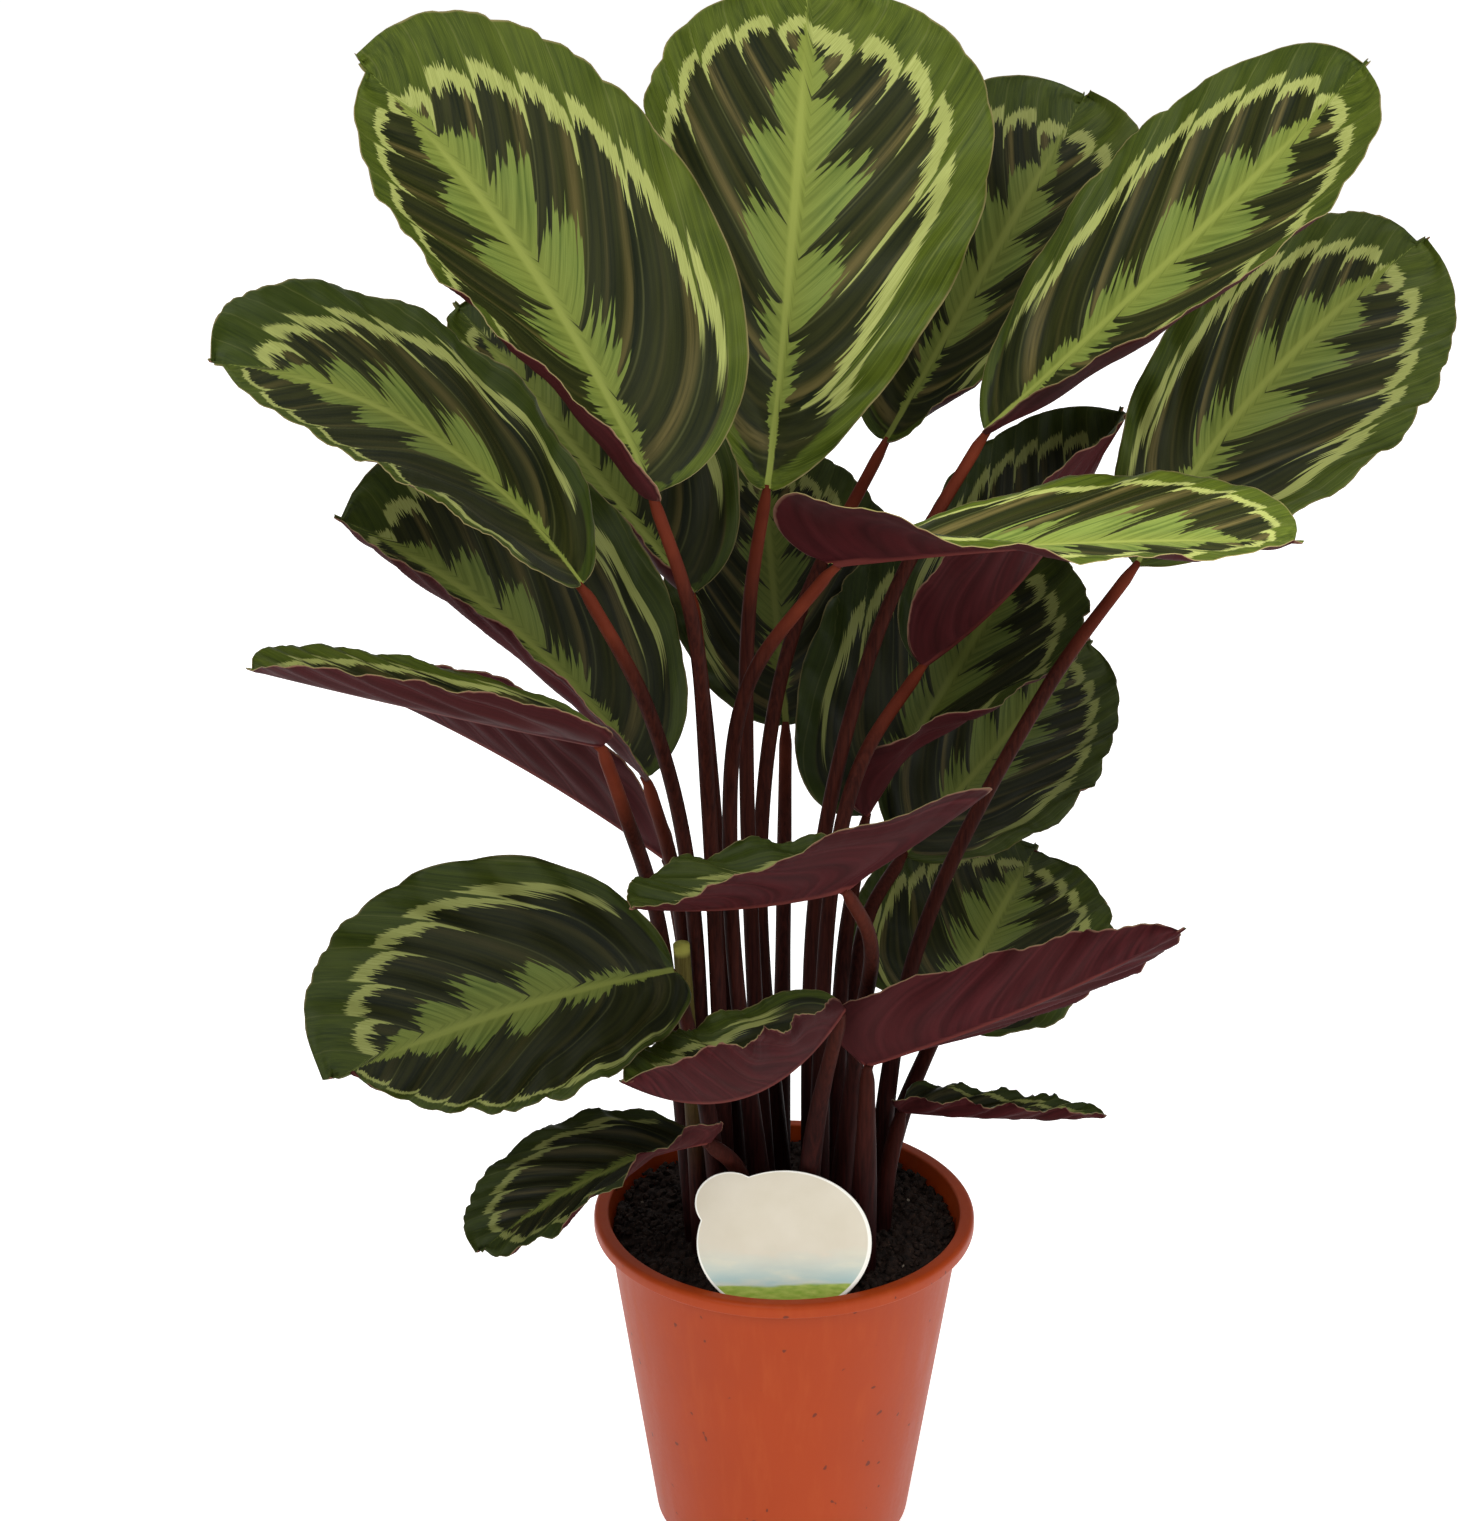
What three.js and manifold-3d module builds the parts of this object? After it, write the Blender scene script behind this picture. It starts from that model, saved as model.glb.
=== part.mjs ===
// A potted medallion calathea: patterned leaves on their own stalks, one cut stalk,
// potting soil with a plant label, and a plastic grower's pot.
// Millimetres, +Z up, origin at the centre of the pot's underside, viewer on the -Y side.

import * as THREE from 'three';
import Module from 'manifold-3d';

const kernel = await Module();
kernel.setup();
const { Manifold, CrossSection } = kernel;

// Pot

const FOOT_HEIGHT = 16;        // narrow foot below the tapered wall
const FOOT_RADIUS = 56.3;
const WALL_BOTTOM_RADIUS = 64.5;
const WALL_TOP_RADIUS = 88;
const WALL_TOP = 177;          // height where the wall meets the lip
const WALL = 1.5;
const FLOOR = 1.8;
const LIP_RADIUS = 95;
const LIP_TOP = 184.5;
const LIP_DEPTH = 7;
const POT_SIDES = 36;
const DRAIN_COUNT = 6;
const DRAIN_RADIUS = 6;
const DRAIN_CIRCLE = 41;

// Soil

const SOIL_GAP = 0.35;         // between the soil and every piece standing in it
const SOIL_TOP = 176;
const SOIL_RELIEF = 1.6;

// Label: a big oval with a small one at its upper left, leaning back

const CARD_THICK = 0.8;
const CARD_OVAL = { x: 0, y: 27, wide: 42, tall: 35.5 };
const CARD_LOBE = { x: -26, y: 46.5, wide: 16.8, tall: 15.2 };
const CARD_FOOT = [-1, -80, 180];
const CARD_LEAN = 16.7;

// Leaves and stalks

const BLADE_THICK = 1.0;
const BLADE_ROWS = 16;
const BLADE_COLUMNS = 3;       // on each side of the midrib
const TIP_HALF_WIDTH = 1.2;
const BASE_HALF_WIDTH = 3;
const END_SWING = 0.001;       // how early the margins start to sweep back
const STALK_SIDES = 6;
const STALK_STEPS = 8;
const STALK_HEIGHTS = [132, 280, 600];
const STALK_RADII = [3.9, 3.1]; // at the upper two heights
const STALK_END_RADIUS = 1.3;
const STALK_END_GAP = 0.75;     // to the blade it carries

// Each leaf: its stalk from the soil up, then the blade from base to tip. Heights are
// measured from the top of the pot's foot. face is the way the upper side looks
// (degrees round from the viewer, degrees up). left and right are the two halves seen
// with the tip up: fold at base, fold at tip, roll at base, roll at tip (degrees) and
// a width factor. wave is height, count and phase, and wavy how much of it each half
// has. lobe and shoulder sweep the outline outward at the base and at the tip. broad is
// where the blade is widest, full how blunt its ends are, sheath its stalk's radius at
// the soil.

const PLAIN = {
  broad: 0.54, full: 0.47, arch: 0, bend: 0, ease: 1,
  left: [8, 8, 10, 10, 1], right: [8, 8, 10, 10, 1],
  wave: [3, 5, 0], wavy: [1, 1], lobe: [6, 6], shoulder: [4, 4], sheath: 4.9,
};

const LEAVES = {
  top_centre: {
    stalk: [[-8, -2, 132], [-19, -1, 400], [-18, -5, 490]],
    base: [-10, -10, 550], tip: [8, 40, 773], width: 158, face: [0, 20],
    broad: 0.7, bend: 2, arch: -4, left: [14, 6, 10, 10, 0.92], right: [10, 4, 6, 6, 1.12],
    wave: [3, 6, 0.1], lobe: [8, 8], full: 0.4, sheath: 7.5,
  },
  top_left: {
    stalk: [[-27, -15, 132], [-37, -50, 410], [-44, -76, 510]],
    base: [-61, -95, 575], tip: [-178, -115, 766], width: 162, face: [8, 18],
    broad: 0.48, bend: 11, left: [35, 30, 110, 10, 0.85], right: [2, 0, 6, 6, 0.97],
    wave: [2.5, 6, 0.3], shoulder: [4, 16], wavy: [0.5, 1], sheath: 5.6,
  },
  upper_left: {
    stalk: [[-38, -4, 132], [-46, -44, 370], [-64, -74, 466]],
    base: [-92, -100, 535], tip: [-243, -125, 642], width: 138, face: [-12, 74],
    broad: 0.53, bend: 20, left: [12, 12, 8, 8, 1.15], right: [12, 12, 8, 8, 0.9],
    wave: [3, 5, 0.2], lobe: [2, 2], shoulder: [4, 12], arch: 12, wavy: [0.35, 1],
  },
  back_left: {
    stalk: [[-22, 20, 132], [-35, 42, 370]],
    base: [-45, 55, 475], tip: [-160, 110, 604], width: 138, face: [-5, 40],
    broad: 0.5, left: [30, 20, 110, 60, 0.75], right: [10, 10, 10, 10, 1],
    wave: [3, 5, 0.2], sheath: 6.2,
  },
  mid_left: {
    stalk: [[-38, 8, 132], [-52, -18, 350]],
    base: [-66, -34, 416], tip: [-204, -50, 549], width: 156, face: [12, 45],
    bend: 14, left: [30, 30, 70, 60, 0.62], right: [0, 0, 10, 10, 1.02], wave: [3, 5, 0.6],
    wavy: [0.4, 1], sheath: 5.4,
  },
  left_reach: {
    stalk: [[-42, -14, 132], [-60, -47, 344], [-75, -98, 428]],
    base: [-84, -118, 467], tip: [-232, -154, 516], width: 108, face: [-10, 94],
    arch: -1, left: [14, 14, 30, 20, 1], right: [14, 8, 10, 10, 0.75], wave: [2.5, 5, 0.3],
    full: 0.36, wavy: [0.3, 0.3],
  },
  left_under: {
    stalk: [[-36, 22, 132], [-45, 15, 270]],
    base: [-57, 10, 355], tip: [-194, 70, 414], width: 128, face: [170, 70],
    arch: 4, left: [35, 32, 15, 15, 1], right: [10, 10, 10, 10, 0.7], wave: [3, 5, 0.3],
    wavy: [0.5, 0.6], sheath: 6,
  },
  low_left: {
    stalk: [[-28, -32, 132], [-37, -51, 245]],
    base: [-53, -75, 336], tip: [-203, -150, 319], width: 122, face: [-12, 25],
    bend: 5, arch: 4, left: [25, 10, 15, 10, 0.8], right: [4, 4, 6, 6, 1.2],
    wave: [3, 6, 0.2], lobe: [12, 0], shoulder: [-8, 16], sheath: 6,
  },
  rim_left: {
    stalk: [[-16, -42, 132], [-22, -46, 212]],
    base: [-38, -68, 243], tip: [-141, -138, 224], width: 72, face: [-30, 55],
    arch: 12, left: [50, 5, 60, 10, 0.85], right: [5, 5, 10, 10, 1],
    wave: [2.5, 5, 0.2], shoulder: [4, 10], lobe: [14, 0], sheath: 5.4,
  },
  low_front: {
    stalk: [[22, -24, 132], [34, -38, 280], [38, -74, 350]],
    base: [25, -95, 387], tip: [-70, -140, 398], width: 90, face: [180, 76],
    arch: -4, broad: 0.45, left: [60, 6, 30, 10, 1.2], right: [30, 10, 10, 10, 1],
    wave: [4, 4, 0.2], lobe: [85, 20], wavy: [0.4, 1], sheath: 7,
  },
  back_right: {
    stalk: [[2, 18, 132], [-12, 24, 360], [4, 46, 460]],
    base: [48, 78, 545], tip: [143, 138, 698], width: 133, face: [-18, 20],
    broad: 0.6, left: [10, 5, 10, 10, 1], right: [20, 8, 75, 10, 1],
    wave: [3, 5, 0.2], shoulder: [10, 14], sheath: 6.4,
  },
  top_right: {
    stalk: [[14, 6, 132], [16, 9, 350], [47, 18, 480]],
    base: [92, 25, 566], tip: [256, 15, 740], width: 137, face: [-22, 55],
    broad: 0.56, bend: 3, left: [5, 5, 10, 10, 0.88], right: [15, 5, 80, 20, 1.24],
    wave: [3, 6, 0.2], lobe: [2, 4], shoulder: [8, 8], wavy: [0.6, 0.4], sheath: 5.8,
  },
  far_right: {
    stalk: [[42, 8, 132], [64, 10, 306], [124, 22, 438]],
    base: [168, 52, 491], tip: [309, 125, 632], width: 148, face: [10, 45],
    bend: -12, broad: 0.58, left: [5, 5, 10, 10, 0.72], right: [5, 5, 10, 10, 0.92],
    wave: [3, 6, 0.4], lobe: [2, 0], shoulder: [4, 10], sheath: 6.2,
  },
  right_shelf: {
    stalk: [[-6, -18, 132], [-27, -34, 370], [-19, -46, 466]],
    base: [20, -60, 530], tip: [215, -140, 568], width: 115, face: [0, 88],
    arch: 4, ease: 3.5, left: [-10, 5, 10, 10, 1.15], right: [124, 5, 16, 10, 1],
    wave: [3.5, 5, 0.2], lobe: [15, 46], wavy: [0.25, 0.6], sheath: 7,
  },
  right_fold: {
    stalk: [[16, -10, 132], [22, -6, 350], [36, 10, 406]],
    base: [66, 42, 443], tip: [160, 72, 563], width: 130, face: [-25, 40],
    left: [10, 8, 10, 10, 0.9], right: [115, 35, 5, 5, 0.92],
    bend: 14, ease: 0.5, wave: [3, 5, 0.2], lobe: [10, 4], shoulder: [4, 4],
    wavy: [0.6, 0.5], sheath: 6.2,
  },
  centre_right: {
    stalk: [[26, 12, 132], [29, 32, 290]],
    base: [40, 50, 361], tip: [123, 110, 488], width: 140, face: [-5, 35],
    ease: 1.5, bend: 2, left: [8, 8, 10, 10, 1], right: [92, 0, 80, 30, 0.96],
    wave: [3.5, 5, 0.2], lobe: [20, 6], sheath: 6,
  },
  back_low_right: {
    stalk: [[30, 28, 132], [35, 38, 270], [42, 56, 303]],
    base: [61, 90, 322], tip: [160, 170, 408], width: 117, face: [5, 40],
    left: [5, 5, 10, 10, 1], right: [5, 5, 10, 10, 0.86], wave: [3, 5, 0.5],
    lobe: [0, 0], sheath: 6.2,
  },
  low_right: {
    stalk: [[44, 22, 132], [58, 24, 205]],
    base: [79, 30, 260], tip: [134, 150, 301], width: 128, face: [-5, 75],
    broad: 0.46, left: [5, 5, 10, 10, 1.1], right: [5, 5, 10, 10, 1.05], wave: [3, 5, 0.5],
    lobe: [6, 20], shoulder: [4, -4], sheath: 5.8,
  },
  right_under: {
    stalk: [[36, -44, 132], [38, -52, 220]],
    base: [38, -60, 280], tip: [178, -110, 374], width: 103, face: [178, 36],
    broad: 0.26, bend: -8, left: [30, 12, 10, 10, 0.75], right: [10, 15, 5, 20, 0.8],
    wave: [3, 5, 0.3], lobe: [5, 20], full: 0.55, wavy: [0.4, 0.8], sheath: 8.5, shoulder: [2, 2],
  },
  front_under: {
    stalk: [[6, -34, 132], [14, -62, 250]],
    base: [25, -85, 321], tip: [-76, -140, 312], width: 93, face: [175, 68],
    arch: -24, left: [36, 30, 10, 10, 1.2], right: [36, 30, 10, 10, 1.05],
    wave: [3, 4, 0.1], sheath: 7.2, lobe: [6, 12],
  },
  rim_right: {
    stalk: [[46, -10, 132], [51, -5, 190]],
    base: [58, 0, 224], tip: [155, -30, 236], width: 50, face: [5, 92],
    arch: -2, broad: 0.22, left: [5, 5, 10, 10, 1], right: [15, 15, 50, 50, 1],
    wave: [2, 5, 0.1], sheath: 5.4,
  },
  back_centre: {
    stalk: [[-2, 34, 132], [0, 72, 300]],
    base: [1, 100, 389], tip: [-12, 150, 519], width: 108, face: [0, 20],
    left: [5, 5, 10, 10, 1], right: [5, 5, 10, 10, 1.2], wave: [3, 5, 0.1],
    lobe: [2, 2], sheath: 6,
  },
};

const CUT_STEM = { path: [[-40, -28, 132], [-44, -36, 230], [-50, -44, 335]], radius: 4.5 };

// Small helpers

const rad = THREE.MathUtils.degToRad;
const lerp = THREE.MathUtils.lerp;

function lifted([x, y, z]) {
  return new THREE.Vector3(x, y, z + FOOT_HEIGHT);
}

function geometryOf(positions, triangles) {
  const geometry = new THREE.BufferGeometry();
  geometry.setAttribute('position', new THREE.Float32BufferAttribute(positions, 3));
  geometry.setIndex(triangles);
  geometry.computeVertexNormals();
  return geometry;
}

function geometryFromSolid(solid) {
  const mesh = solid.getMesh();
  const positions = [];
  for (let v = 0; v < mesh.vertProperties.length; v += mesh.numProp) {
    positions.push(...mesh.vertProperties.slice(v, v + 3));
  }
  return geometryOf(positions, Array.from(mesh.triVerts));
}

function solidFromGeometry(geometry) {
  const mesh = new kernel.Mesh({
    numProp: 3,
    vertProperties: new Float32Array(geometry.attributes.position.array),
    triVerts: new Uint32Array(geometry.index.array),
  });
  return new Manifold(mesh);
}

// Blades

function halfWidth(leaf, s) {
  const along = Math.min(s / 0.97, 1);
  const skew = Math.log(0.5) / Math.log(leaf.broad);
  const swell = Math.max(Math.sin(Math.PI * along ** skew), 0) ** leaf.full;
  const least = lerp(BASE_HALF_WIDTH, TIP_HALF_WIDTH, s);
  return Math.max(leaf.width / 2 * swell, least);
}

// Offset across and above the midrib at q (0 midrib, 1 margin), for a half width of 1.
function rolled(fold, roll, q) {
  if (Math.abs(roll) < 1e-3) return [Math.cos(fold) * q, Math.sin(fold) * q];
  return [
    (Math.sin(fold + roll * q) - Math.sin(fold)) / roll,
    (Math.cos(fold) - Math.cos(fold + roll * q)) / roll,
  ];
}

function bladeAxes(leaf) {
  const base = lifted(leaf.base);
  const span = lifted(leaf.tip).sub(base);
  const along = span.clone().normalize();
  const [round, up] = leaf.face.map(rad);
  const look = new THREE.Vector3(
    Math.sin(round) * Math.cos(up), -Math.cos(round) * Math.cos(up), Math.sin(up));
  const over = look.addScaledVector(along, -look.dot(along)).normalize();
  const across = new THREE.Vector3().crossVectors(along, over);
  return { base, span, along, over, across };
}

// The middle surface: rows from base to tip, each from the left margin to the right.
function bladeSurface(leaf) {
  const { base, span, over, across } = bladeAxes(leaf);
  const rows = [];
  for (let i = 0; i <= BLADE_ROWS; i += 1) {
    const part = i / BLADE_ROWS;
    const s = 0.5 * part + 0.25 * (1 - Math.cos(Math.PI * part));
    const sag = 4 * s * (1 - s);
    const slope = 4 * (1 - 2 * s);
    const mid = base.clone().addScaledVector(span, s)
      .addScaledVector(over, sag * leaf.arch).addScaledVector(across, sag * leaf.bend);
    const ahead = span.clone().addScaledVector(over, slope * leaf.arch)
      .addScaledVector(across, slope * leaf.bend).normalize();
    const top = over.clone().addScaledVector(ahead, -over.dot(ahead)).normalize();
    const side = new THREE.Vector3().crossVectors(ahead, top);
    const half = halfWidth(leaf, s);
    const row = [];
    for (let j = -BLADE_COLUMNS; j <= BLADE_COLUMNS; j += 1) {
      const sign = j < 0 ? -1 : 1;
      const q = Math.abs(j) / BLADE_COLUMNS;
      const which = j < 0 ? 0 : 1;
      const [fold0, fold1, roll0, roll1, factor] = j < 0 ? leaf.left : leaf.right;
      const ease = (1 - s) ** leaf.ease;
      const fold = rad(lerp(fold1, fold0, ease));
      const roll = rad(lerp(roll1, roll0, ease));
      const [out, rise] = rolled(fold, roll, q);
      const [height, count, phase] = leaf.wave;
      const turn = 2 * Math.PI * (count * (s - 0.25 * q) + phase + 0.5 * which);
      const wave = leaf.wavy[which] * height * q ** 1.5
        * Math.sin(Math.PI * s) ** 0.4 * Math.sin(turn);
      const tilt = fold + roll * q;
      const back = 4.2 * q * (leaf.lobe[which] * (1 - s) ** 3 * Math.sqrt(s + END_SWING)
        - leaf.shoulder[which] * s ** 3 * Math.sqrt(1 - s + END_SWING));
      row.push(mid.clone()
        .addScaledVector(side, sign * (half * factor * out - wave * Math.sin(tilt)))
        .addScaledVector(top, half * factor * rise + wave * Math.cos(tilt))
        .addScaledVector(ahead, -back));
    }
    rows.push(row);
  }
  return rows;
}

function bladeGeometry(leaf) {
  const rows = bladeSurface(leaf);
  const last = BLADE_ROWS;
  const wide = 2 * BLADE_COLUMNS;
  const positions = [];
  const upper = (i, j) => 2 * (i * (wide + 1) + j);
  const lower = (i, j) => upper(i, j) + 1;
  for (let i = 0; i <= last; i += 1) {
    for (let j = 0; j <= wide; j += 1) {
      const sideways = rows[i][Math.min(j + 1, wide)].clone().sub(rows[i][Math.max(j - 1, 0)]);
      const onward = rows[Math.min(i + 1, last)][j].clone().sub(rows[Math.max(i - 1, 0)][j]);
      const normal = sideways.cross(onward).normalize().multiplyScalar(BLADE_THICK / 2);
      positions.push(...rows[i][j].clone().add(normal), ...rows[i][j].clone().sub(normal));
    }
  }
  const triangles = [];
  const quad = (a, b, c, d) => triangles.push(a, b, c, a, c, d);
  for (let i = 0; i < last; i += 1) {
    for (let j = 0; j < wide; j += 1) {
      const a = [i, j];
      const b = [i, j + 1];
      const c = [i + 1, j + 1];
      const d = [i + 1, j];
      const pair = j < BLADE_COLUMNS ? [[a, b, d], [b, c, d]] : [[a, b, c], [a, c, d]];
      for (const [p, q, r] of pair) {
        triangles.push(upper(...p), upper(...q), upper(...r));
        triangles.push(lower(...p), lower(...r), lower(...q));
      }
    }
    quad(upper(i, 0), upper(i + 1, 0), lower(i + 1, 0), lower(i, 0));
    quad(upper(i, wide), lower(i, wide), lower(i + 1, wide), upper(i + 1, wide));
  }
  for (let j = 0; j < wide; j += 1) {
    quad(upper(0, j), lower(0, j), lower(0, j + 1), upper(0, j + 1));
    quad(upper(last, j), upper(last, j + 1), lower(last, j + 1), lower(last, j));
  }
  return geometryOf(positions, triangles);
}

// Stalks

function stalkRadius(height, sheath) {
  const z = height - FOOT_HEIGHT;
  const [low, middle, high] = STALK_HEIGHTS;
  const [upper, top] = STALK_RADII;
  if (z < middle) return lerp(sheath, upper, Math.max(z - low, 0) / (middle - low));
  return lerp(upper, top, Math.min((z - middle) / (high - middle), 1));
}

function ringAt(centre, direction, radius) {
  const a = new THREE.Vector3(1, 0, 0);
  a.addScaledVector(direction, -a.dot(direction)).normalize();
  const b = new THREE.Vector3().crossVectors(direction, a);
  const ring = [];
  for (let k = 0; k < STALK_SIDES; k += 1) {
    const turn = 2 * Math.PI * k / STALK_SIDES;
    ring.push(centre.clone()
      .addScaledVector(a, radius * Math.cos(turn)).addScaledVector(b, radius * Math.sin(turn)));
  }
  return ring;
}

function tubeGeometry(rings) {
  const positions = rings.flat().flatMap((p) => [p.x, p.y, p.z]);
  const triangles = [];
  const at = (i, k) => i * STALK_SIDES + (k % STALK_SIDES);
  for (let i = 0; i + 1 < rings.length; i += 1) {
    for (let k = 0; k < STALK_SIDES; k += 1) {
      triangles.push(at(i, k), at(i, k + 1), at(i + 1, k + 1));
      triangles.push(at(i, k), at(i + 1, k + 1), at(i + 1, k));
    }
  }
  for (let k = 1; k + 1 < STALK_SIDES; k += 1) {
    triangles.push(at(0, 0), at(0, k + 1), at(0, k));
    triangles.push(at(rings.length - 1, 0), at(rings.length - 1, k), at(rings.length - 1, k + 1));
  }
  return geometryOf(positions, triangles);
}

function stalkRings(points, radiusAt, widen = 0) {
  const curve = new THREE.CatmullRomCurve3(points, false, 'centripetal');
  const rings = [];
  for (let i = 0; i <= STALK_STEPS; i += 1) {
    const centre = curve.getPoint(i / STALK_STEPS);
    const direction = curve.getTangent(i / STALK_STEPS);
    if (widen > 0 && i === 0) centre.addScaledVector(direction, -SOIL_GAP);
    rings.push(ringAt(centre, direction, radiusAt(centre.z, i) + widen));
  }
  return rings;
}

function stalkPath(leaf) {
  const points = leaf.stalk.map(lifted);
  const end = lifted(leaf.base);
  const arriving = end.clone().sub(points[points.length - 1]).normalize();
  const { along, over, across } = bladeAxes(leaf);
  const room = STALK_END_GAP + STALK_END_RADIUS * Math.abs(arriving.dot(across))
    + BLADE_THICK / 2 * Math.abs(arriving.dot(over));
  end.addScaledVector(arriving.add(along).normalize(), -room);
  return [...points, end];
}

const leafStalkRadius = (leaf) => (z, i) => (
  i === STALK_STEPS ? STALK_END_RADIUS : stalkRadius(z, leaf.sheath));
const cutStemRadius = () => CUT_STEM.radius;

// The plain hole a stalk stands in: the stalk's length up to clear of the soil, slightly wider.
function holeSolid(points, radiusAt) {
  const rings = stalkRings(points, radiusAt, SOIL_GAP / Math.cos(Math.PI / STALK_SIDES));
  const clear = rings.findIndex((ring) => ring[0].z > SOIL_TOP + 8);
  return solidFromGeometry(tubeGeometry(rings.slice(0, clear + 1)));
}

// Pot, soil and label

function wallRadius(z) {
  const part = (z - FOOT_HEIGHT) / (WALL_TOP - FOOT_HEIGHT);
  return lerp(WALL_BOTTOM_RADIUS, WALL_TOP_RADIUS, part);
}

function potSolid() {
  const skirt = LIP_RADIUS - 1.7;
  const under = LIP_TOP - 2;
  const profile = [
    [0, 0], [FOOT_RADIUS - 1.5, 0], [FOOT_RADIUS, 1.2],
    [WALL_BOTTOM_RADIUS, FOOT_HEIGHT], [WALL_TOP_RADIUS, WALL_TOP],
    [wallRadius(under), under], [skirt, under], [skirt, LIP_TOP - LIP_DEPTH],
    [LIP_RADIUS - 0.4, LIP_TOP - LIP_DEPTH], [LIP_RADIUS, LIP_TOP - LIP_DEPTH + 1],
    [LIP_RADIUS, LIP_TOP - 1.8], [LIP_RADIUS - 1.8, LIP_TOP],
    [wallRadius(LIP_TOP), LIP_TOP], [wallRadius(LIP_TOP) - WALL, LIP_TOP - 1],
    [WALL_BOTTOM_RADIUS - WALL, FOOT_HEIGHT + 0.4], [FOOT_RADIUS - 1.4, FLOOR], [0, FLOOR],
  ];
  let pot = Manifold.revolve([profile], POT_SIDES);
  const drain = Manifold.cylinder(FLOOR + 2, DRAIN_RADIUS, DRAIN_RADIUS, 12);
  for (let k = 0; k < DRAIN_COUNT; k += 1) {
    const turn = 2 * Math.PI * (k + 0.5) / DRAIN_COUNT;
    pot = pot.subtract(drain.translate(
      [DRAIN_CIRCLE * Math.cos(turn), DRAIN_CIRCLE * Math.sin(turn), -1]));
  }
  return pot;
}

function soilRelief(x, y) {
  return SOIL_RELIEF * (Math.sin(x * 0.11 + y * 0.05 + 0.7) * Math.cos(y * 0.09 - x * 0.03)
    + 0.5 * Math.sin(x * 0.23 - y * 0.17));
}

function soilSolid(holes) {
  const inner = (z) => wallRadius(z) - WALL - SOIL_GAP;
  const profile = [
    [0, FLOOR + SOIL_GAP], [FOOT_RADIUS - 2, FLOOR + SOIL_GAP],
    [inner(FOOT_HEIGHT) - 0.2, FOOT_HEIGHT + 0.4], [inner(SOIL_TOP - 5) - 0.1, SOIL_TOP - 5],
    [inner(SOIL_TOP - 5) - 0.3, SOIL_TOP - 1],
    [79, SOIL_TOP], [66, SOIL_TOP], [52, SOIL_TOP], [36, SOIL_TOP], [18, SOIL_TOP],
    [0, SOIL_TOP],
  ];
  const filled = Manifold.revolve([profile], POT_SIDES).warp((point) => {
    if (point[2] > SOIL_TOP - 2) point[2] += soilRelief(point[0], point[1]);
  });
  return filled.subtract(Manifold.union(holes));
}

function oval({ x, y, wide, tall }) {
  return CrossSection.circle(1, 28).scale([wide, tall]).translate([x, y]);
}

function cardSolid(widen) {
  const outline = oval(CARD_OVAL).add(oval(CARD_LOBE));
  const shape = widen > 0 ? outline.offset(widen, 'Miter') : outline;
  const thick = CARD_THICK + 2 * widen;
  return Manifold.extrude(shape, thick).translate([0, 0, -thick / 2])
    .rotate([90 - CARD_LEAN, 0, 0]).translate(CARD_FOOT);
}

// Assembly

const plant = new THREE.Group();
plant.name = 'potted_calathea';

function add(name, geometry, color, roughness) {
  const material = new THREE.MeshStandardMaterial({ color, roughness, metalness: 0 });
  const mesh = new THREE.Mesh(geometry, material);
  mesh.name = name;
  plant.add(mesh);
}

const holes = [cardSolid(SOIL_GAP)];
for (const [place, row] of Object.entries(LEAVES)) {
  const leaf = { ...PLAIN, ...row };
  const path = stalkPath(leaf);
  const radiusAt = leafStalkRadius(leaf);
  holes.push(holeSolid(path, radiusAt));
  add(`blade_${place}`, bladeGeometry(leaf), 0x4f7a2c, 0.45);
  add(`stalk_${place}`, tubeGeometry(stalkRings(path, radiusAt)), 0x4c1f24, 0.5);
}
const cutPath = CUT_STEM.path.map(lifted);
holes.push(holeSolid(cutPath, cutStemRadius));
add('cut_stem', tubeGeometry(stalkRings(cutPath, cutStemRadius)), 0x5a2a22, 0.55);
add('pot', geometryFromSolid(potSolid()), 0xb04a28, 0.5);
add('potting_soil', geometryFromSolid(soilSolid(holes)), 0x1d130f, 0.95);
add('plant_label', geometryFromSolid(cardSolid(0)), 0xdcd6c2, 0.4);

export default plant;
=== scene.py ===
# A potted medallion calathea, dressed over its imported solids.

import math
import bpy
import numpy as np
from mathutils import Matrix, Vector


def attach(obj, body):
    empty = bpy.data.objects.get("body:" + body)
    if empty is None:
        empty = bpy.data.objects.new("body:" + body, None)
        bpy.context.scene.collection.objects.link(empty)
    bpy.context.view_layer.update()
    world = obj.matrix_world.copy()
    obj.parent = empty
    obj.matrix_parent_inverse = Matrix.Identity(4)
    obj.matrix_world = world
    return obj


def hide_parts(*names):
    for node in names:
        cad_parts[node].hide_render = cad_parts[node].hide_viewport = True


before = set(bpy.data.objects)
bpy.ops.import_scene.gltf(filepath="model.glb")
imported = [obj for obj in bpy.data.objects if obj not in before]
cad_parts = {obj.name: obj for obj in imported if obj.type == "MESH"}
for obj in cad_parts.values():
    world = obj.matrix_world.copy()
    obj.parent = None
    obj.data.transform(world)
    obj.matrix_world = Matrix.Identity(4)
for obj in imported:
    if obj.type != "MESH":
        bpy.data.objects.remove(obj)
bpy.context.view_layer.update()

MM = 0.001
SEED = 7

# Pot, in millimetres as in the part's source

FOOT_HEIGHT = 16.0
FOOT_RADIUS = 56.3
WALL_BOTTOM_RADIUS = 64.5
WALL_TOP_RADIUS = 88.0
WALL_TOP = 177.0
WALL = 1.5
FLOOR = 1.8
LIP_RADIUS = 95.0
LIP_TOP = 184.5
LIP_DEPTH = 7.0
DRAIN_COUNT = 6
DRAIN_RADIUS = 6.0
DRAIN_CIRCLE = 41.0
POT_SIDES = 144

# Soil and label

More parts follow.
